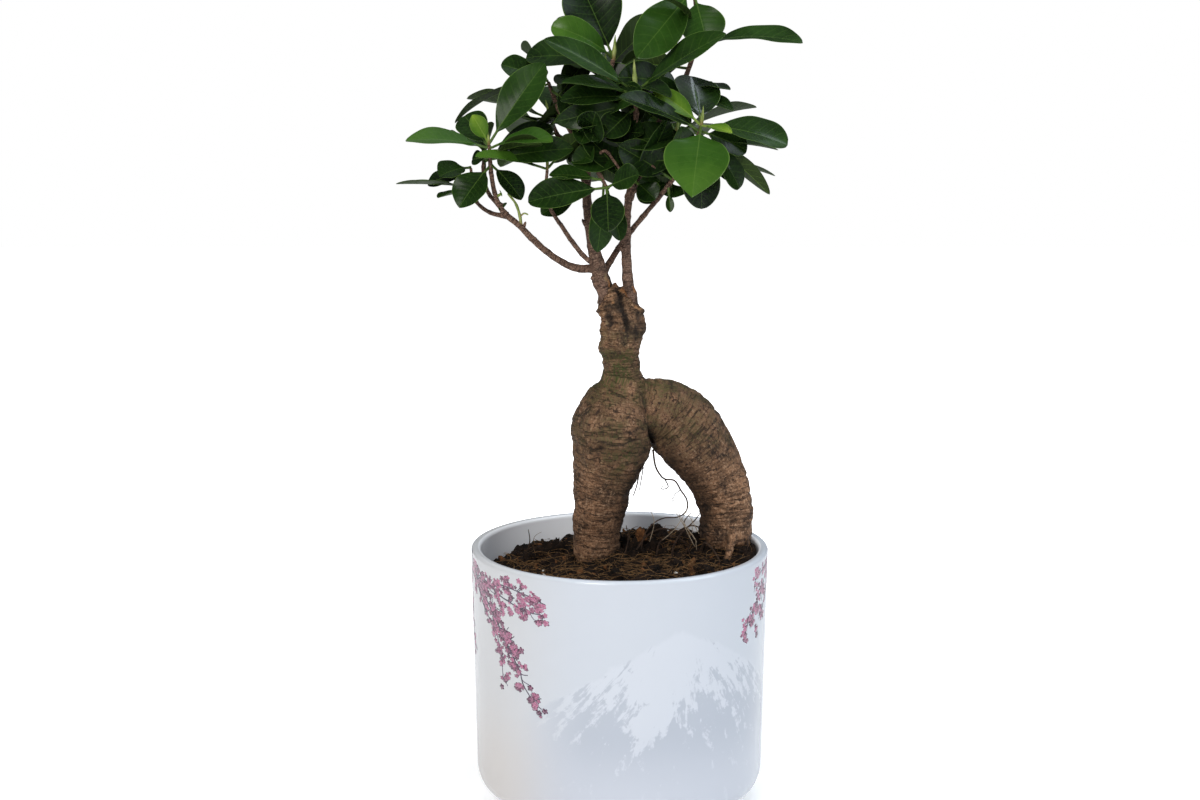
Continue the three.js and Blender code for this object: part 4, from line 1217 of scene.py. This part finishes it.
# Leaf: a thin closed section carried along an arc from stalk to tip. The edges rise by the fold, a groove
# runs over the midrib and a keel under it, the blade swells between side veins, and the edge ripples.
# Gives the grid, the leaf's own coordinates (guide) and which side is under (facts).
def leafGrid(row, seed, form=None, rows=leafShape["rows"], columns=leafShape["columns"]):
    limbName, line, share, tipX, tipY, tipZ, width, arch, heading, rise = row
    look = leafShape
    draw = np.random.default_rng(seed)
    form = form or (look["broadening"], look["narrowing"] + draw.uniform(-0.08, 0.12))
    knots = limbs[limbName][line]
    onWood = smoothPath(knots, 400)[0][int(round(share * 399)), :3]
    tip = np.array([tipX, tipY, tipZ], float)
    base = onWood + unit(tip - onWood) * (knots[-1][3] + 0.6 + 5 * (1 - share))
    length = np.linalg.norm(tip - base)
    along = (tip - base) / length
    heading, rise, bend = np.radians([heading, rise, arch])
    facing = [np.cos(rise) * np.cos(heading), np.cos(rise) * np.sin(heading), np.sin(rise)]
    side = unit(np.cross(along, facing))
    up = np.cross(side, along)
    size = length / (2 * np.sin(bend / 2))
    # rows stand closer together towards both ends
    spread = np.linspace(0, 1, rows)
    place = spread + 0.055 * np.sin(2 * np.pi * spread)
    place = (0.5 - 0.5 * np.cos(np.pi * place)) * 0.35 + place * 0.65
    turn = bend * (0.5 - place)[:, None]
    middle = base + along * size * (np.sin(bend / 2) - np.sin(turn))
    middle = middle + up * size * (np.cos(turn) - np.cos(bend / 2))
    upright = up * np.cos(turn) - along * np.sin(turn)
    lean = np.radians(look["twist"]) * draw.uniform(-1, 1) * (place[:, None] - 0.3)
    sideways = side * np.cos(lean) + upright * np.sin(lean)
    normal = upright * np.cos(lean) - side * np.sin(lean)
    # c runs across the blade from -1 to 1, and t is positive above it
    angle = -roundAngles(columns)
    c, t = np.cos(angle)[None], np.sin(angle)[None]
    half = np.maximum(leafHalf(place, width, form), 0.04)[:, None]
    blade = ease(place, 0.13, 0.30)[:, None]
    bladePlace = np.clip((place - look["stalkShare"]) / (1 - look["stalkShare"]), 0, 1)[:, None]
    thick = look["stalkThick"] + (look["bladeThick"] - look["stalkThick"]) * blade
    thick = np.minimum(thick, half)
    rounded = np.sign(t) * np.abs(t) ** (1 - 0.45 * blade)
    wave = np.sin(2 * np.pi * (draw.uniform(1.4, 2.4) * place[:, None] + draw.random()))
    lift = blade * half * (look["fold"] * np.abs(c) ** 1.35 + look["ripple"] * c**2 * wave * np.sign(c))
    slant = bladePlace - look["slant"] * np.abs(c) ** 1.25
    quilt = -np.cos(2 * np.pi * look["sidePairs"] * slant) * (1 - np.abs(c) ** 4) * blade * look["quilt"]
    quilt = quilt * ease(half, 1.0, 3.5)
    groove = look["groove"] * bell(c * half, 0.7) * blade * (1 - bladePlace)
    keel = look["keel"] * bell(c * half, 0.6) * blade * (1 - bladePlace) ** 0.8
    above = lift + quilt + thick * rounded - np.where(t > 0, groove, 0) - np.where(t < 0, keel * np.abs(t), 0)
    grid = middle[:, None] + sideways[:, None] * (half * c)[..., None] + normal[:, None] * above[..., None]
    under = 0.5 - 0.5 * np.clip(t * 6, -1, 1) + 0 * half
    guide = np.stack([bladePlace + 0 * c, c + 0 * half, c * half], -1)
    facts = np.stack([under, 0 * under, 0 * under], -1)
    # the stalk goes on into the wood
    foot = np.repeat(grid[:1], 3, axis=0) + ((onWood - base) * np.array([[1.0], [0.66], [0.33]]))[:, None]
    guide, facts = (np.concatenate([np.repeat(rows[:1], 3, axis=0), rows]) for rows in (guide, facts))
    return np.concatenate([foot, grid]), guide, facts


# Leaf colours: dark to mid by the leaf's own tone and a cloudy noise, fresh towards the tip of a bright leaf,
# shaded along the edges, with veins and rim in the rib colour and a pale underside
def makeLeafMaterial(name, dark, mid, fresh, rib, under, roughness, edgeShade):
    shader = {"Specular IOR Level": 0.10, "Coat Roughness": 0.16}
    material, tree, principled = newMaterial(name, shader)
    guide = attribute(tree, "guide")
    below, tone, gloss = split(tree, attribute(tree, "facts"))
    veinPlace = {"Leaf": guide, "Pairs": leafShape["sidePairs"]}
    veins = addNode(tree, "Group", veinPlace, node_tree=leafVeins).outputs
    place = objectPlace(tree)
    cloud = noise(tree, place, 70.0, 4.0, 0.55, 0.3)
    share = timesAdd(tree, minus(tree, cloud, 0.5), 0.9, tone, clamp=True)
    above = blendColours(tree, share, dark, mid)
    along, across, _ = split(tree, guide)
    ripe = times(tree, tone, timesAdd(tree, cloud, 0.9, along))
    above = blendColours(tree, between(tree, ripe, 0.75, 1.35), above, fresh)
    shaded = between(tree, absolute(tree, across), 0.25, 0.95, 0.0, edgeShade)
    above = blendColours(tree, shaded, above, dark)
    mottle = noise(tree, place, 900.0, 3.0, 0.6)
    above = blendColours(tree, times(tree, between(tree, mottle, 0.4, 0.75), 0.22), above, mid)
    pale = under
    for label, (shareAbove, shareUnder) in leafLook["ribs"].items():
        above = blendColours(tree, times(tree, veins[label], shareAbove), above, rib)
        if shareUnder:
            pale = blendColours(tree, times(tree, veins[label], shareUnder), pale, rib)
    colour = blendColours(tree, between(tree, below, 0.35, 0.65), above, pale)
    stalk = blendColours(tree, 0.45, under, rib)
    colour = blendColours(tree, between(tree, along, 0.03, 0.0), colour, stalk)
    dull = between(tree, cloud, 0.3, 0.7, roughness - 0.05, roughness + 0.05)
    rough = timesAdd(tree, below, 0.18, dull)
    relief = bump(tree, timesAdd(tree, mottle, 0.03, veins["Height"]), 0.35, 0.00012)
    coat = times(tree, gloss, minus(tree, 1.0, below))
    feed(tree, principled, colour=colour, roughness=rough, normal=relief, coat=coat)
    return material


leafSkin = makeLeafMaterial(
    "leafSkin",
    dark=tint(14, 26, 10),
    mid=tint(46, 80, 22),
    fresh=tint(62, 96, 28),
    rib=tint(98, 126, 56),
    under=tint(46, 62, 28),
    roughness=0.29,
    edgeShade=0.08,
)
youngSkin = makeLeafMaterial(
    "youngLeafSkin",
    dark=tint(44, 82, 18),
    mid=tint(88, 120, 34),
    fresh=tint(118, 142, 44),
    rib=tint(140, 160, 76),
    under=tint(98, 122, 52),
    roughness=0.32,
    edgeShade=0.6,
)


# Inner leaves: they stand round their shoot a golden angle apart and look up, to the front or outwards
def fillLeaves():
    draw, found = np.random.default_rng(fill["seed"]), []
    for limbName, line, start, count in fill["shoots"]:
        path = smoothPath(limbs[limbName][line], 400)[0]
        turn = draw.uniform(0, 360)
        for place in np.linspace(start, 0.97, count):
            turn += fill["goldenAngle"]
            heading = math.radians(turn + draw.uniform(-15, 15))
            rise = math.radians(draw.uniform(*fill["rise"]))
            level = math.cos(rise)
            ahead = np.array([level * math.cos(heading), level * math.sin(heading), math.sin(rise)])
            tip = path[int(place * 399), :3] + ahead * draw.uniform(*fill["length"])
            width, arch = draw.uniform(*fill["width"]), draw.uniform(*fill["arch"])
            if not any(np.sum(np.divide(tip - middle, half) ** 2) < 1 for middle, half in fill["rooms"]):
                continue
            faced = -90 + draw.uniform(-45, 45) if tip[1] < 14 else math.degrees(math.atan2(tip[1], tip[0]))
            found.append((limbName, line, place, *tip, width, arch, faced, draw.uniform(-15, 45)))
    return found


# Skin of one leaf, with its guide and its facts as further columns
def leafBody(row, seed, tone, gloss, **shape):
    grid, guide, facts = leafGrid(row, seed, **shape)
    facts[..., 1], facts[..., 2] = tone, gloss
    return skin(np.concatenate([grid, guide, facts], -1)[None])


def addFoliage(name, body, young=False, stands=()):
    material, slotName = (youngSkin, "young_leaf") if young else (leafSkin, "leaf")
    addSkin("foliage_" + name, body, material, ["guide", "facts"], stands)


# Every leaf of the tables is a piece, and the inner leaves of a limb are one piece together
def makeLeaves():
    draw = np.random.default_rng(leafLook["seed"])
    for index, (name, row) in enumerate([*leaves.items(), *sprigs.items()]):
        tone = leafLook["tones"].get(name, draw.uniform(0.0, leafLook["mostTone"]))
        gloss = leafLook["gloss"].get(name, draw.uniform(0.0, leafLook["mostGloss"]))
        body = leafBody(row, 100 + index, tone, gloss, form=leafLook["forms"].get(name))
        addFoliage(name, body, name in leafLook["young"], ["leaf_" + name] if name in leaves else [])
    shoots = {}
    for index, row in enumerate(fillLeaves()):
        # inner leaves darker, as painted shade inside the crown
        tone = draw.uniform(0.0, leafLook["mostInnerTone"])
        gloss = draw.uniform(0.0, leafLook["mostGloss"])
        body = leafBody(row, 300 + index, tone, gloss, rows=fill["rows"], columns=fill["columns"])
        shoots.setdefault(row[0], []).append(body)
    for limbName, bodies in shoots.items():
        addFoliage("inside_" + limbName, joinSkins(bodies))
    print("leaves made:", len(leaves) + len(sprigs), "and inside:", sum(map(len, shoots.values())))


makeLeaves()

# Soil

soil = {
    "level": 115.0,
    "fallToLeft": 0.06,
    "mounds": [(-10, 0, 4, 24), (47, 4, 8, 17), (14, -34, 4, 26), (22, 24, 4.5, 14)],  # x, y, height, spread
    "edge": 64.6,
    "rows": 110,
    "columns": 300,
    # radius and height of the part inside the pot
    "below": [(20, 8.4), (45, 8.4), (54, 12.0), (60.5, 20), (63.2, 30), (63.6, 60), (64.6, 100), (64.6, 108)],
    "clod": 1.9,
    "grit": 0.8,
    "seed": 23,
    "crumbs": 1700,
    "chips": 120,
    "fibres": 1250,
    "perlite": 16,
    # larger clods: x, y, size
    "clods": [(4, 11, 7.5), (9, 3, 5.5), (0, 20, 8.0), (14, 10, 6.5), (21, 20, 7.5), (31, 22, 7.0),
              (-31, 20, 7.5), (6, -4, 4.0), (38, 2, 5.0), (34, -6, 4.0), (41, 15, 6.0), (57, -9, 4.6),
              (60, 3, 4.4), (-34, 22, 6.0), (-43, 14, 5.4), (-28, 32, 5.4), (-50, 22, 4.6), (20, 32, 5.4),
              (-22, -12, 3.8), (24, -26, 4.0), (50, -18, 4.2), (-56, 4, 4.0), (28, 12, 4.6), (-6, 24, 5.5),
              (12, 46, 5.0), (-14, 48, 5.0), (34, 42, 5.0), (-2, -40, 3.4), (-36, -24, 3.6),
              (38, -34, 3.6), (21, 0, 3.8), (27, -10, 3.2)],
    "chunk": (10.5, 4.0, 127.0),  # an upright piece of bark
    "chunkSize": (5.2, (0.62, 0.5, 1.15)),
    "crumbBall": (5, 8, 0.25),  # rings, points in a ring, and how near the first and last are to the poles
    "clodBall": (22, 34, 0.12),
    "fibre": (7, 5),
    # dark, light, flecks, and how fine the drift between dark and light is
    "peat": (tint(7, 5, 4), tint(38, 26, 18), tint(108, 78, 54), 260.0),
    "chipBark": (tint(52, 32, 18), tint(126, 84, 50), tint(176, 132, 90), 420.0),
    "hair": (tint(58, 40, 26), tint(138, 106, 70), tint(184, 154, 114), 500.0),
    "white": (tint(176, 170, 160), tint(226, 222, 214), tint(238, 236, 230), 600.0),
}


# Height of the soil: level, a fall to the left, bell-shaped mounds, and clods and grit as noise
def soilHeight(x, y):
    height = soil["level"] + soil["fallToLeft"] * x
    for mx, my, rise, spread in soil["mounds"]:
        height = height + rise * bell(np.hypot(x - mx, y - my), spread)
    place = np.stack([x, y, 0 * x], -1)
    return height + soil["clod"] * layeredNoise(place, 8, 2) + soil["grit"] * layeredNoise(place, 2.6, 6)


# Earth: dark drifting to light, with flecks where a fine noise is high
def makeSoilMaterial(name, low, high, fleck, scale):
    material, tree, principled = newMaterial(name, {"Specular IOR Level": 0.2})
    place = objectPlace(tree)
    tone = uneven(tree, place, scale, low, high)
    grit = noise(tree, place, 1300.0, 4.0, 0.65)
    colour = blendColours(tree, between(tree, grit, 0.60, 0.74), tone, fleck)
    rough = between(tree, grit, 0.3, 0.7, 0.8, 0.98)
    feed(tree, principled, colour=colour, roughness=rough, normal=bump(tree, grit, 0.9, 0.0008))
    return material


# Soil: rings from the wall to the middle at the soil's height, over the part that is inside the pot
def makeSoil():
    below = np.array(soil["below"])
    angle = roundAngles(soil["columns"])
    radius = np.linspace(soil["edge"], 0.4, soil["rows"])[:, None] + 0 * angle
    top = np.stack([radius * np.cos(angle), radius * np.sin(angle), 0 * radius], -1)
    top[..., 2] = soilHeight(top[..., 0], top[..., 1])
    around = [below[:, :1] * np.cos(angle), below[:, :1] * np.sin(angle), below[:, 1:] + 0 * angle]
    body = skin(np.concatenate([np.stack(around, -1), top])[None])
    earth = makeSoilMaterial("peatSoil", *soil["peat"])
    addSkin("pottingSoil", body, earth, stands=["soil"])
    return earth


# Random places on the soil, clear of the wall by a margin
def soilPlaces(draw, count, margin):
    radius = (soil["edge"] - margin) * np.sqrt(draw.random(count))
    turn = draw.uniform(0, 2 * np.pi, count)
    x, y = radius * np.cos(turn), radius * np.sin(turn)
    return np.stack([x, y, soilHeight(x, y)], -1)


# Ball as rings of points: sine of the tilt times the cosine and sine of the turn, and the cosine of the tilt
def ball(rings, columns, margin):
    tilt = np.linspace(margin, np.pi - margin, rings)[::-1, None]
    turn = roundAngles(columns)[None]
    return np.stack([np.sin(tilt) * np.cos(turn), np.sin(tilt) * np.sin(turn), np.cos(tilt) + 0 * turn], -1)


# Crumbs: small balls, pushed in and out at random, squashed along their own axes and turned
def crumbGrids(draw, places, size, squash):
    count = len(places)
    rings, columns, _ = soil["crumbBall"]
    bumps = 1 + 0.28 * draw.uniform(-1, 1, (count, rings, columns, 1))
    lumps = ball(*soil["crumbBall"]) * bumps * squash[:, None, None] * size[:, None, None, None]
    turned = np.einsum("kij,krcj->krci", randomTurns(draw, count), lumps)
    return turned + places[:, None, None]


# Clods: balls with finer rings, pushed in and out by noise that is sharp at its crests
def clodGrids(draw, places, size):
    middle = places[:, None, None]
    stretch = draw.uniform(0.65, 1.1, (len(places), 1, 1, 3))
    rough = ball(*soil["clodBall"])[None] * stretch * size[:, None, None, None] + middle
    bumps = 1 + 0.42 * layeredNoise(rough, 4.0, 50) - 0.5 * np.abs(layeredNoise(rough, 1.9, 51))
    return middle + (rough - middle) * bumps[..., None]


# Fibres: thin tubes that taper to both ends along a random bent line, share times the heading plus a bow to
# one side and an arch
def fibreGrids(draw, places, length, thickness, climb):
    count = len(places)
    rows, columns = soil["fibre"]
    share = np.linspace(-0.5, 0.5, rows)[None, :, None]
    heading = draw.uniform(0, 2 * np.pi, count)
    slope = climb * draw.uniform(-0.6, 1.0, count)
    ahead = np.stack([np.cos(heading), np.sin(heading), slope], -1)[:, None]
    aside = np.stack([-np.sin(heading), np.cos(heading), 0 * heading], -1)[:, None]
    bow = draw.uniform(-0.45, 0.45, (count, 1, 1))
    arch = draw.uniform(-0.1, 0.45, (count, 1, 1)) * climb
    bend = share**2 - 0.25
    line = ahead * share + aside * bow * bend * 4 - up3 * arch * bend * 2
    centre = places[:, None] + length[:, None, None] * line
    tangent = unit(np.gradient(centre, axis=1))
    side = unit(np.cross(tangent, up3 + 0.01))
    other = np.cross(tangent, side)
    turn = roundAngles(columns)
    radius = thickness[:, None, None] * (1 - 1.2 * np.abs(share[..., 0])[..., None])
    around = side[:, :, None] * np.cos(turn)[:, None] + other[:, :, None] * np.sin(turn)[:, None]
    return centre[:, :, None] + around * radius[..., None]


# What lies on the soil: crumbs, clods, bark chips, an upright chunk, fibres and pale grains
def makeSoilLitter(earth):
    draw = np.random.default_rng(soil["seed"])
    count = soil["crumbs"]
    size = 0.5 + 1.9 * draw.random(count) ** 3
    crumbs = crumbGrids(draw, soilPlaces(draw, count, 3.0), size, draw.uniform(0.55, 1.0, (count, 3)))
    x, y, size = np.array(soil["clods"], float).T
    clods = clodGrids(draw, np.stack([x, y, soilHeight(x, y)], -1), size)
    count = soil["chips"]
    size = 1.2 + 2.6 * draw.random(count) ** 2
    flat = [draw.uniform(low, high, count) for low, high in ((0.8, 1.3), (0.4, 0.7), (0.18, 0.3))]
    chips = crumbGrids(draw, soilPlaces(draw, count, 4.0), size, np.stack(flat, -1))
    middle, (size, squash) = np.array(soil["chunk"]), soil["chunkSize"]
    chunk = (clodGrids(draw, middle[None], np.array([size])) - middle) * np.array(squash) + middle
    count = soil["fibres"]
    length = draw.uniform(4, 17, count)
    places = soilPlaces(draw, count, 7.0)
    places[:, 2] += 0.5
    fibres = fibreGrids(draw, places, length, draw.uniform(0.07, 0.2, count), 0.5)
    fibres = fibres[np.hypot(fibres[..., 0], fibres[..., 1]).max((1, 2)) < soil["edge"]]
    count = soil["perlite"]
    places, size = soilPlaces(draw, count, 6.0), draw.uniform(0.5, 1.1, count)
    grains = crumbGrids(draw, places, size, draw.uniform(0.6, 1, (count, 3)))
    chipBark = makeSoilMaterial("barkChips", *soil["chipBark"])
    hair = makeSoilMaterial("peatFibres", *soil["hair"])
    white = makeSoilMaterial("perlite", *soil["white"])
    litter = [
        ("soilCrumbs", crumbs, earth),
        ("soilClods", clods, earth),
        ("barkChips", chips, chipBark),
        ("barkChunk", chunk, chipBark),
        ("peatFibres", fibres, hair),
        ("perliteGrains", grains, white),
    ]
    for name, grids, material in litter:
        addSkin(name, skin(grids), material)


makeSoilLitter(makeSoil())
print("soil made")


# Fine roots, buds and twig stubs

smallWood = {
    "budGreen": (tint(104, 124, 52), tint(156, 166, 98)),
    "budFoot": tint(116, 96, 56),
    # dark, mid, light
    "hairTints": (tint(120, 104, 84), tint(176, 160, 138), tint(206, 194, 176)),
    "rootletTints": (tint(26, 18, 13), tint(62, 44, 32), tint(104, 80, 60)),
    # fine roots under the arch of the legs
    "rootlets": [
        [(15.5, -6, 171, 0.35), (16.5, -8, 164, 0.34), (18.5, -9, 160, 0.32), (21, -9, 157.6, 0.3),
         (25.5, -10, 157, 0.3), (28.4, -10, 152.5, 0.3), (31.2, -11, 148, 0.28), (31, -11, 143, 0.26),
         (27, -11, 140, 0.24), (21, -11, 139.6, 0.22), (16.5, -11, 137.5, 0.2), (12, -10, 132, 0.2),
         (10, -9, 124, 0.2)],
        [(21, -9, 157.6, 0.22), (22.5, -10, 154, 0.2), (19.5, -10, 153, 0.16), (20, -11, 155, 0.12)],
        [(28, -10, 152.5, 0.16), (25.5, -9, 150, 0.14), (24.5, -8, 146, 0.1)],
        [(13, -6, 168, 0.3), (9.5, -9, 162, 0.28), (8, -10, 155, 0.24), (6.2, -10, 149.5, 0.18)],
        [(11, -8, 163, 0.22), (9.9, -10, 157, 0.18), (9, -10, 152, 0.12)],
        [(8, -9, 124, 0.32), (13, -10, 131, 0.3), (20, -11, 134.5, 0.26), (28, -10, 133, 0.24),
         (34, -8, 136.5, 0.2), (38, -6, 141, 0.16)],
        [(24, -10, 119, 0.4), (26, -11, 128, 0.32), (32, -11, 135.5, 0.28), (38, -8, 134, 0.24),
         (42, -7, 130, 0.2)],
        [(17, -9, 120, 0.3), (19, -10, 128, 0.28), (25, -11, 131, 0.24), (31, -10, 127, 0.2),
         (33, -9, 121, 0.2)],
        [(30, -8, 120, 0.3), (33, -10, 128, 0.26), (30, -11, 137, 0.2), (33.5, -10, 142, 0.14)],
        [(2, -9, 120, 0.26), (4, -10, 129, 0.22), (3, -10, 136, 0.14)],
        [(38, -4, 121, 0.5), (40, -9, 127, 0.4), (44, -13, 124, 0.36), (48, -17, 117, 0.3)],
        [(58, -4, 122, 0.5), (60, -6, 127, 0.35), (59.5, -8, 121, 0.3)],
        [(-45, 20, 115, 0.25), (-43.5, 20, 121, 0.2), (-44.2, 20, 127, 0.12)],
    ],
    "hairs": [
        [(34, -11, 128, 0.12), (27, -12, 141, 0.1), (19, -12, 150, 0.08)],
        [(36, -11, 128, 0.12), (29, -12, 139, 0.1), (24, -12, 150, 0.08)],
        [(37, -11, 132, 0.12), (32, -12, 141, 0.1), (26, -12, 147, 0.08)],
        [(20, -11, 129, 0.12), (26, -12, 135, 0.1), (32, -12, 145, 0.08)],
        [(14, -10, 128, 0.12), (16, -12, 138, 0.1), (13, -12, 146, 0.08)],
        [(35, -11, 126, 0.1), (32, -12, 132, 0.08), (29, -12, 139, 0.06)],
        [(36, -10, 124, 0.1), (35, -11, 130, 0.08), (31, -12, 135, 0.06)],
        [(34, -11, 133, 0.09), (33.6, -12, 138, 0.07), (33.8, -12, 143, 0.05)],
    ],
    # dead ends of side shoots
    "stubs": [
        [(-13.5, 1.5, 273, 1.0), (-16, 0.5, 275, 0.8), (-17.4, 0, 277.5, 0.6)],
        [(2.6, -1, 262, 0.9), (0.9, -2.4, 263.5, 0.7), (0.2, -3, 265, 0.5)],
        [(-9.2, -1, 251, 1.2), (-12.4, -2.6, 250.4, 1.0), (-13.6, -3, 250, 0.8)],
        [(-44.3, -6, 273, 0.6), (-43.4, -7, 275, 0.5), (-42.8, -7.4, 276.4, 0.35)],
        [(4.4, -1, 288, 0.8), (6.6, -3, 289.6, 0.6), (7.4, -3.6, 291, 0.4)],
    ],
    # closed leaf buds at the shoot ends: knots from the shoot to the point
    "buds": [
        [(6.6, -9, 333, 1.0), (6.5, -9.6, 338, 1.15), (6.2, -10, 343, 0.8), (6.0, -10.3, 348, 0.18)],
        [(-3, 6, 349, 0.9), (-2.7, 6, 353, 1.0), (-2.4, 6, 357, 0.6), (-2.2, 6, 360.5, 0.15)],
        [(-59, -9.5, 310.5, 0.7), (-59.3, -9.8, 313, 0.8), (-59.7, -10, 316, 0.5), (-60, -10.2, 318, 0.12)],
        [(36, -13, 318.5, 0.7), (36.3, -13.4, 321.5, 0.85), (36.6, -13.8, 325, 0.5),
         (36.8, -14, 327.5, 0.12)],
        [(33, 1, 379.5, 0.7), (32.7, 0.4, 383, 0.8), (32.4, 0, 387, 0.5), (32.2, -0.3, 390, 0.12)],
        [(-33, -8, 299.5, 0.6), (-32.9, -8.2, 302, 0.7), (-32.8, -8.4, 305, 0.4), (-32.7, -8.5, 307, 0.1)],
        [(-33, 33, 324.5, 0.7), (-33.8, 34, 327.5, 0.8), (-34.6, 35, 331, 0.5), (-35.2, 35.6, 333.5, 0.12)],
        [(-7, 26, 345.5, 0.7), (-6.8, 27, 349, 0.8), (-6.6, 27.6, 352.5, 0.5), (-6.5, 28, 355, 0.12)],
        [(27, 33, 317.5, 0.7), (27.8, 34, 320.5, 0.8), (28.6, 35, 324, 0.5), (29.2, 35.6, 326.5, 0.12)],
    ],
    # green shoot on the long branch, and reddish twigs inside the crown
    "shoots": [
        [(-45, -6, 274, 0.8), (-45.6, -7, 279, 0.7), (-47.4, -8, 284.5, 0.6), (-51, -8.6, 289, 0.4)],
        [(-45.6, -7, 278.5, 0.5), (-43.6, -7.6, 280, 0.4), (-41.6, -8, 279.4, 0.3)],
    ],
    "twigs": [
        [(-12, -4, 304, 0.7), (-7, -6, 308, 0.65), (-2.5, -6, 303, 0.6), (1.5, -5, 297, 0.6),
         (4, -3, 292, 0.6)],
        [(4.8, -2, 298, 0.7), (7, -6, 301.5, 0.6), (13.5, -8, 301.5, 0.5), (16, -9, 300, 0.4)],
        [(6.6, -3, 316, 0.6), (7.6, -7, 321, 0.5), (8, -9, 325.5, 0.4)],
        [(-5.5, -3, 291, 0.6), (-8, -5, 294.4, 0.5), (-10.8, -6, 298.4, 0.4)],
    ],
}


# Root as fine as a hair: a plain tube, thicker than its knots by the growth
def thinRoot(knots, step, columns, growth):
    return tube([(*knot[:3], growth * knot[3]) for knot in knots], step, columns)


# Bud scales: the radius swells and dips a little along the bud, and a seam winds round it
def budTube(knots, seed):
    def shape(radius, run, angle):
        return radius * (1 + 0.09 * np.cos(2 * angle + 1.3 * run + seed) * ease(run, 0, 1.5))

    return tube(knots, 0.25, 16, shape)


# Rootlets, hairs, stubs, twigs, buds and shoots: each kind's tubes joined into one piece
def makeSmallWood():
    budSkin, tree, principled = newMaterial("budSkin", {"Specular IOR Level": 0.3})
    flow = attribute(tree, "flow")
    streak = noise(tree, stretched(tree, flow, (1500, 1500, 150)), 1.0, 3.0, 0.6)
    green = blendColours(tree, between(tree, streak, 0.35, 0.65), *smallWood["budGreen"])
    colour = blendColours(tree, between(tree, split(tree, flow)[2], 0.004, 0.0), green, smallWood["budFoot"])
    rough = between(tree, streak, 0.3, 0.7, 0.32, 0.5)
    feed(tree, principled, colour=colour, roughness=rough, normal=bump(tree, streak, 0.4, 0.0002))
    hairSkin = makeWoodMaterial("rootHair", *smallWood["hairTints"], 2.0, 0.0002)
    rootSkin = makeWoodMaterial("rootletBark", *smallWood["rootletTints"], 2.0, 0.0002)
    groups = [
        ("rootlets", rootSkin, "bark", lambda knots, index: thinRoot(knots, 0.6, 10, 1.35)),
        ("hairs", hairSkin, "bark", lambda knots, index: thinRoot(knots, 0.8, 6, 1.5)),
        ("stubs", twigBark, "twig", lambda knots, index: limbTube(knots, index + 70, False)),
        ("twigs", twigBark, "twig", lambda knots, index: limbTube(knots, index + 90, False)),
        ("buds", budSkin, "young_leaf", budTube),
        ("shoots", budSkin, "young_leaf", budTube),
    ]
    for name, material, slotName, build in groups:
        parts = []
        for index, knots in enumerate(smallWood[name]):
            grid, flow = build(knots, index)
            parts.append(skin(np.concatenate([grid, flow * mm, 0 * flow], -1)[None]))
        addSkin("fine_" + name, joinSkins(parts), material, ["flow", "marks"])


makeSmallWood()
print("small wood made")
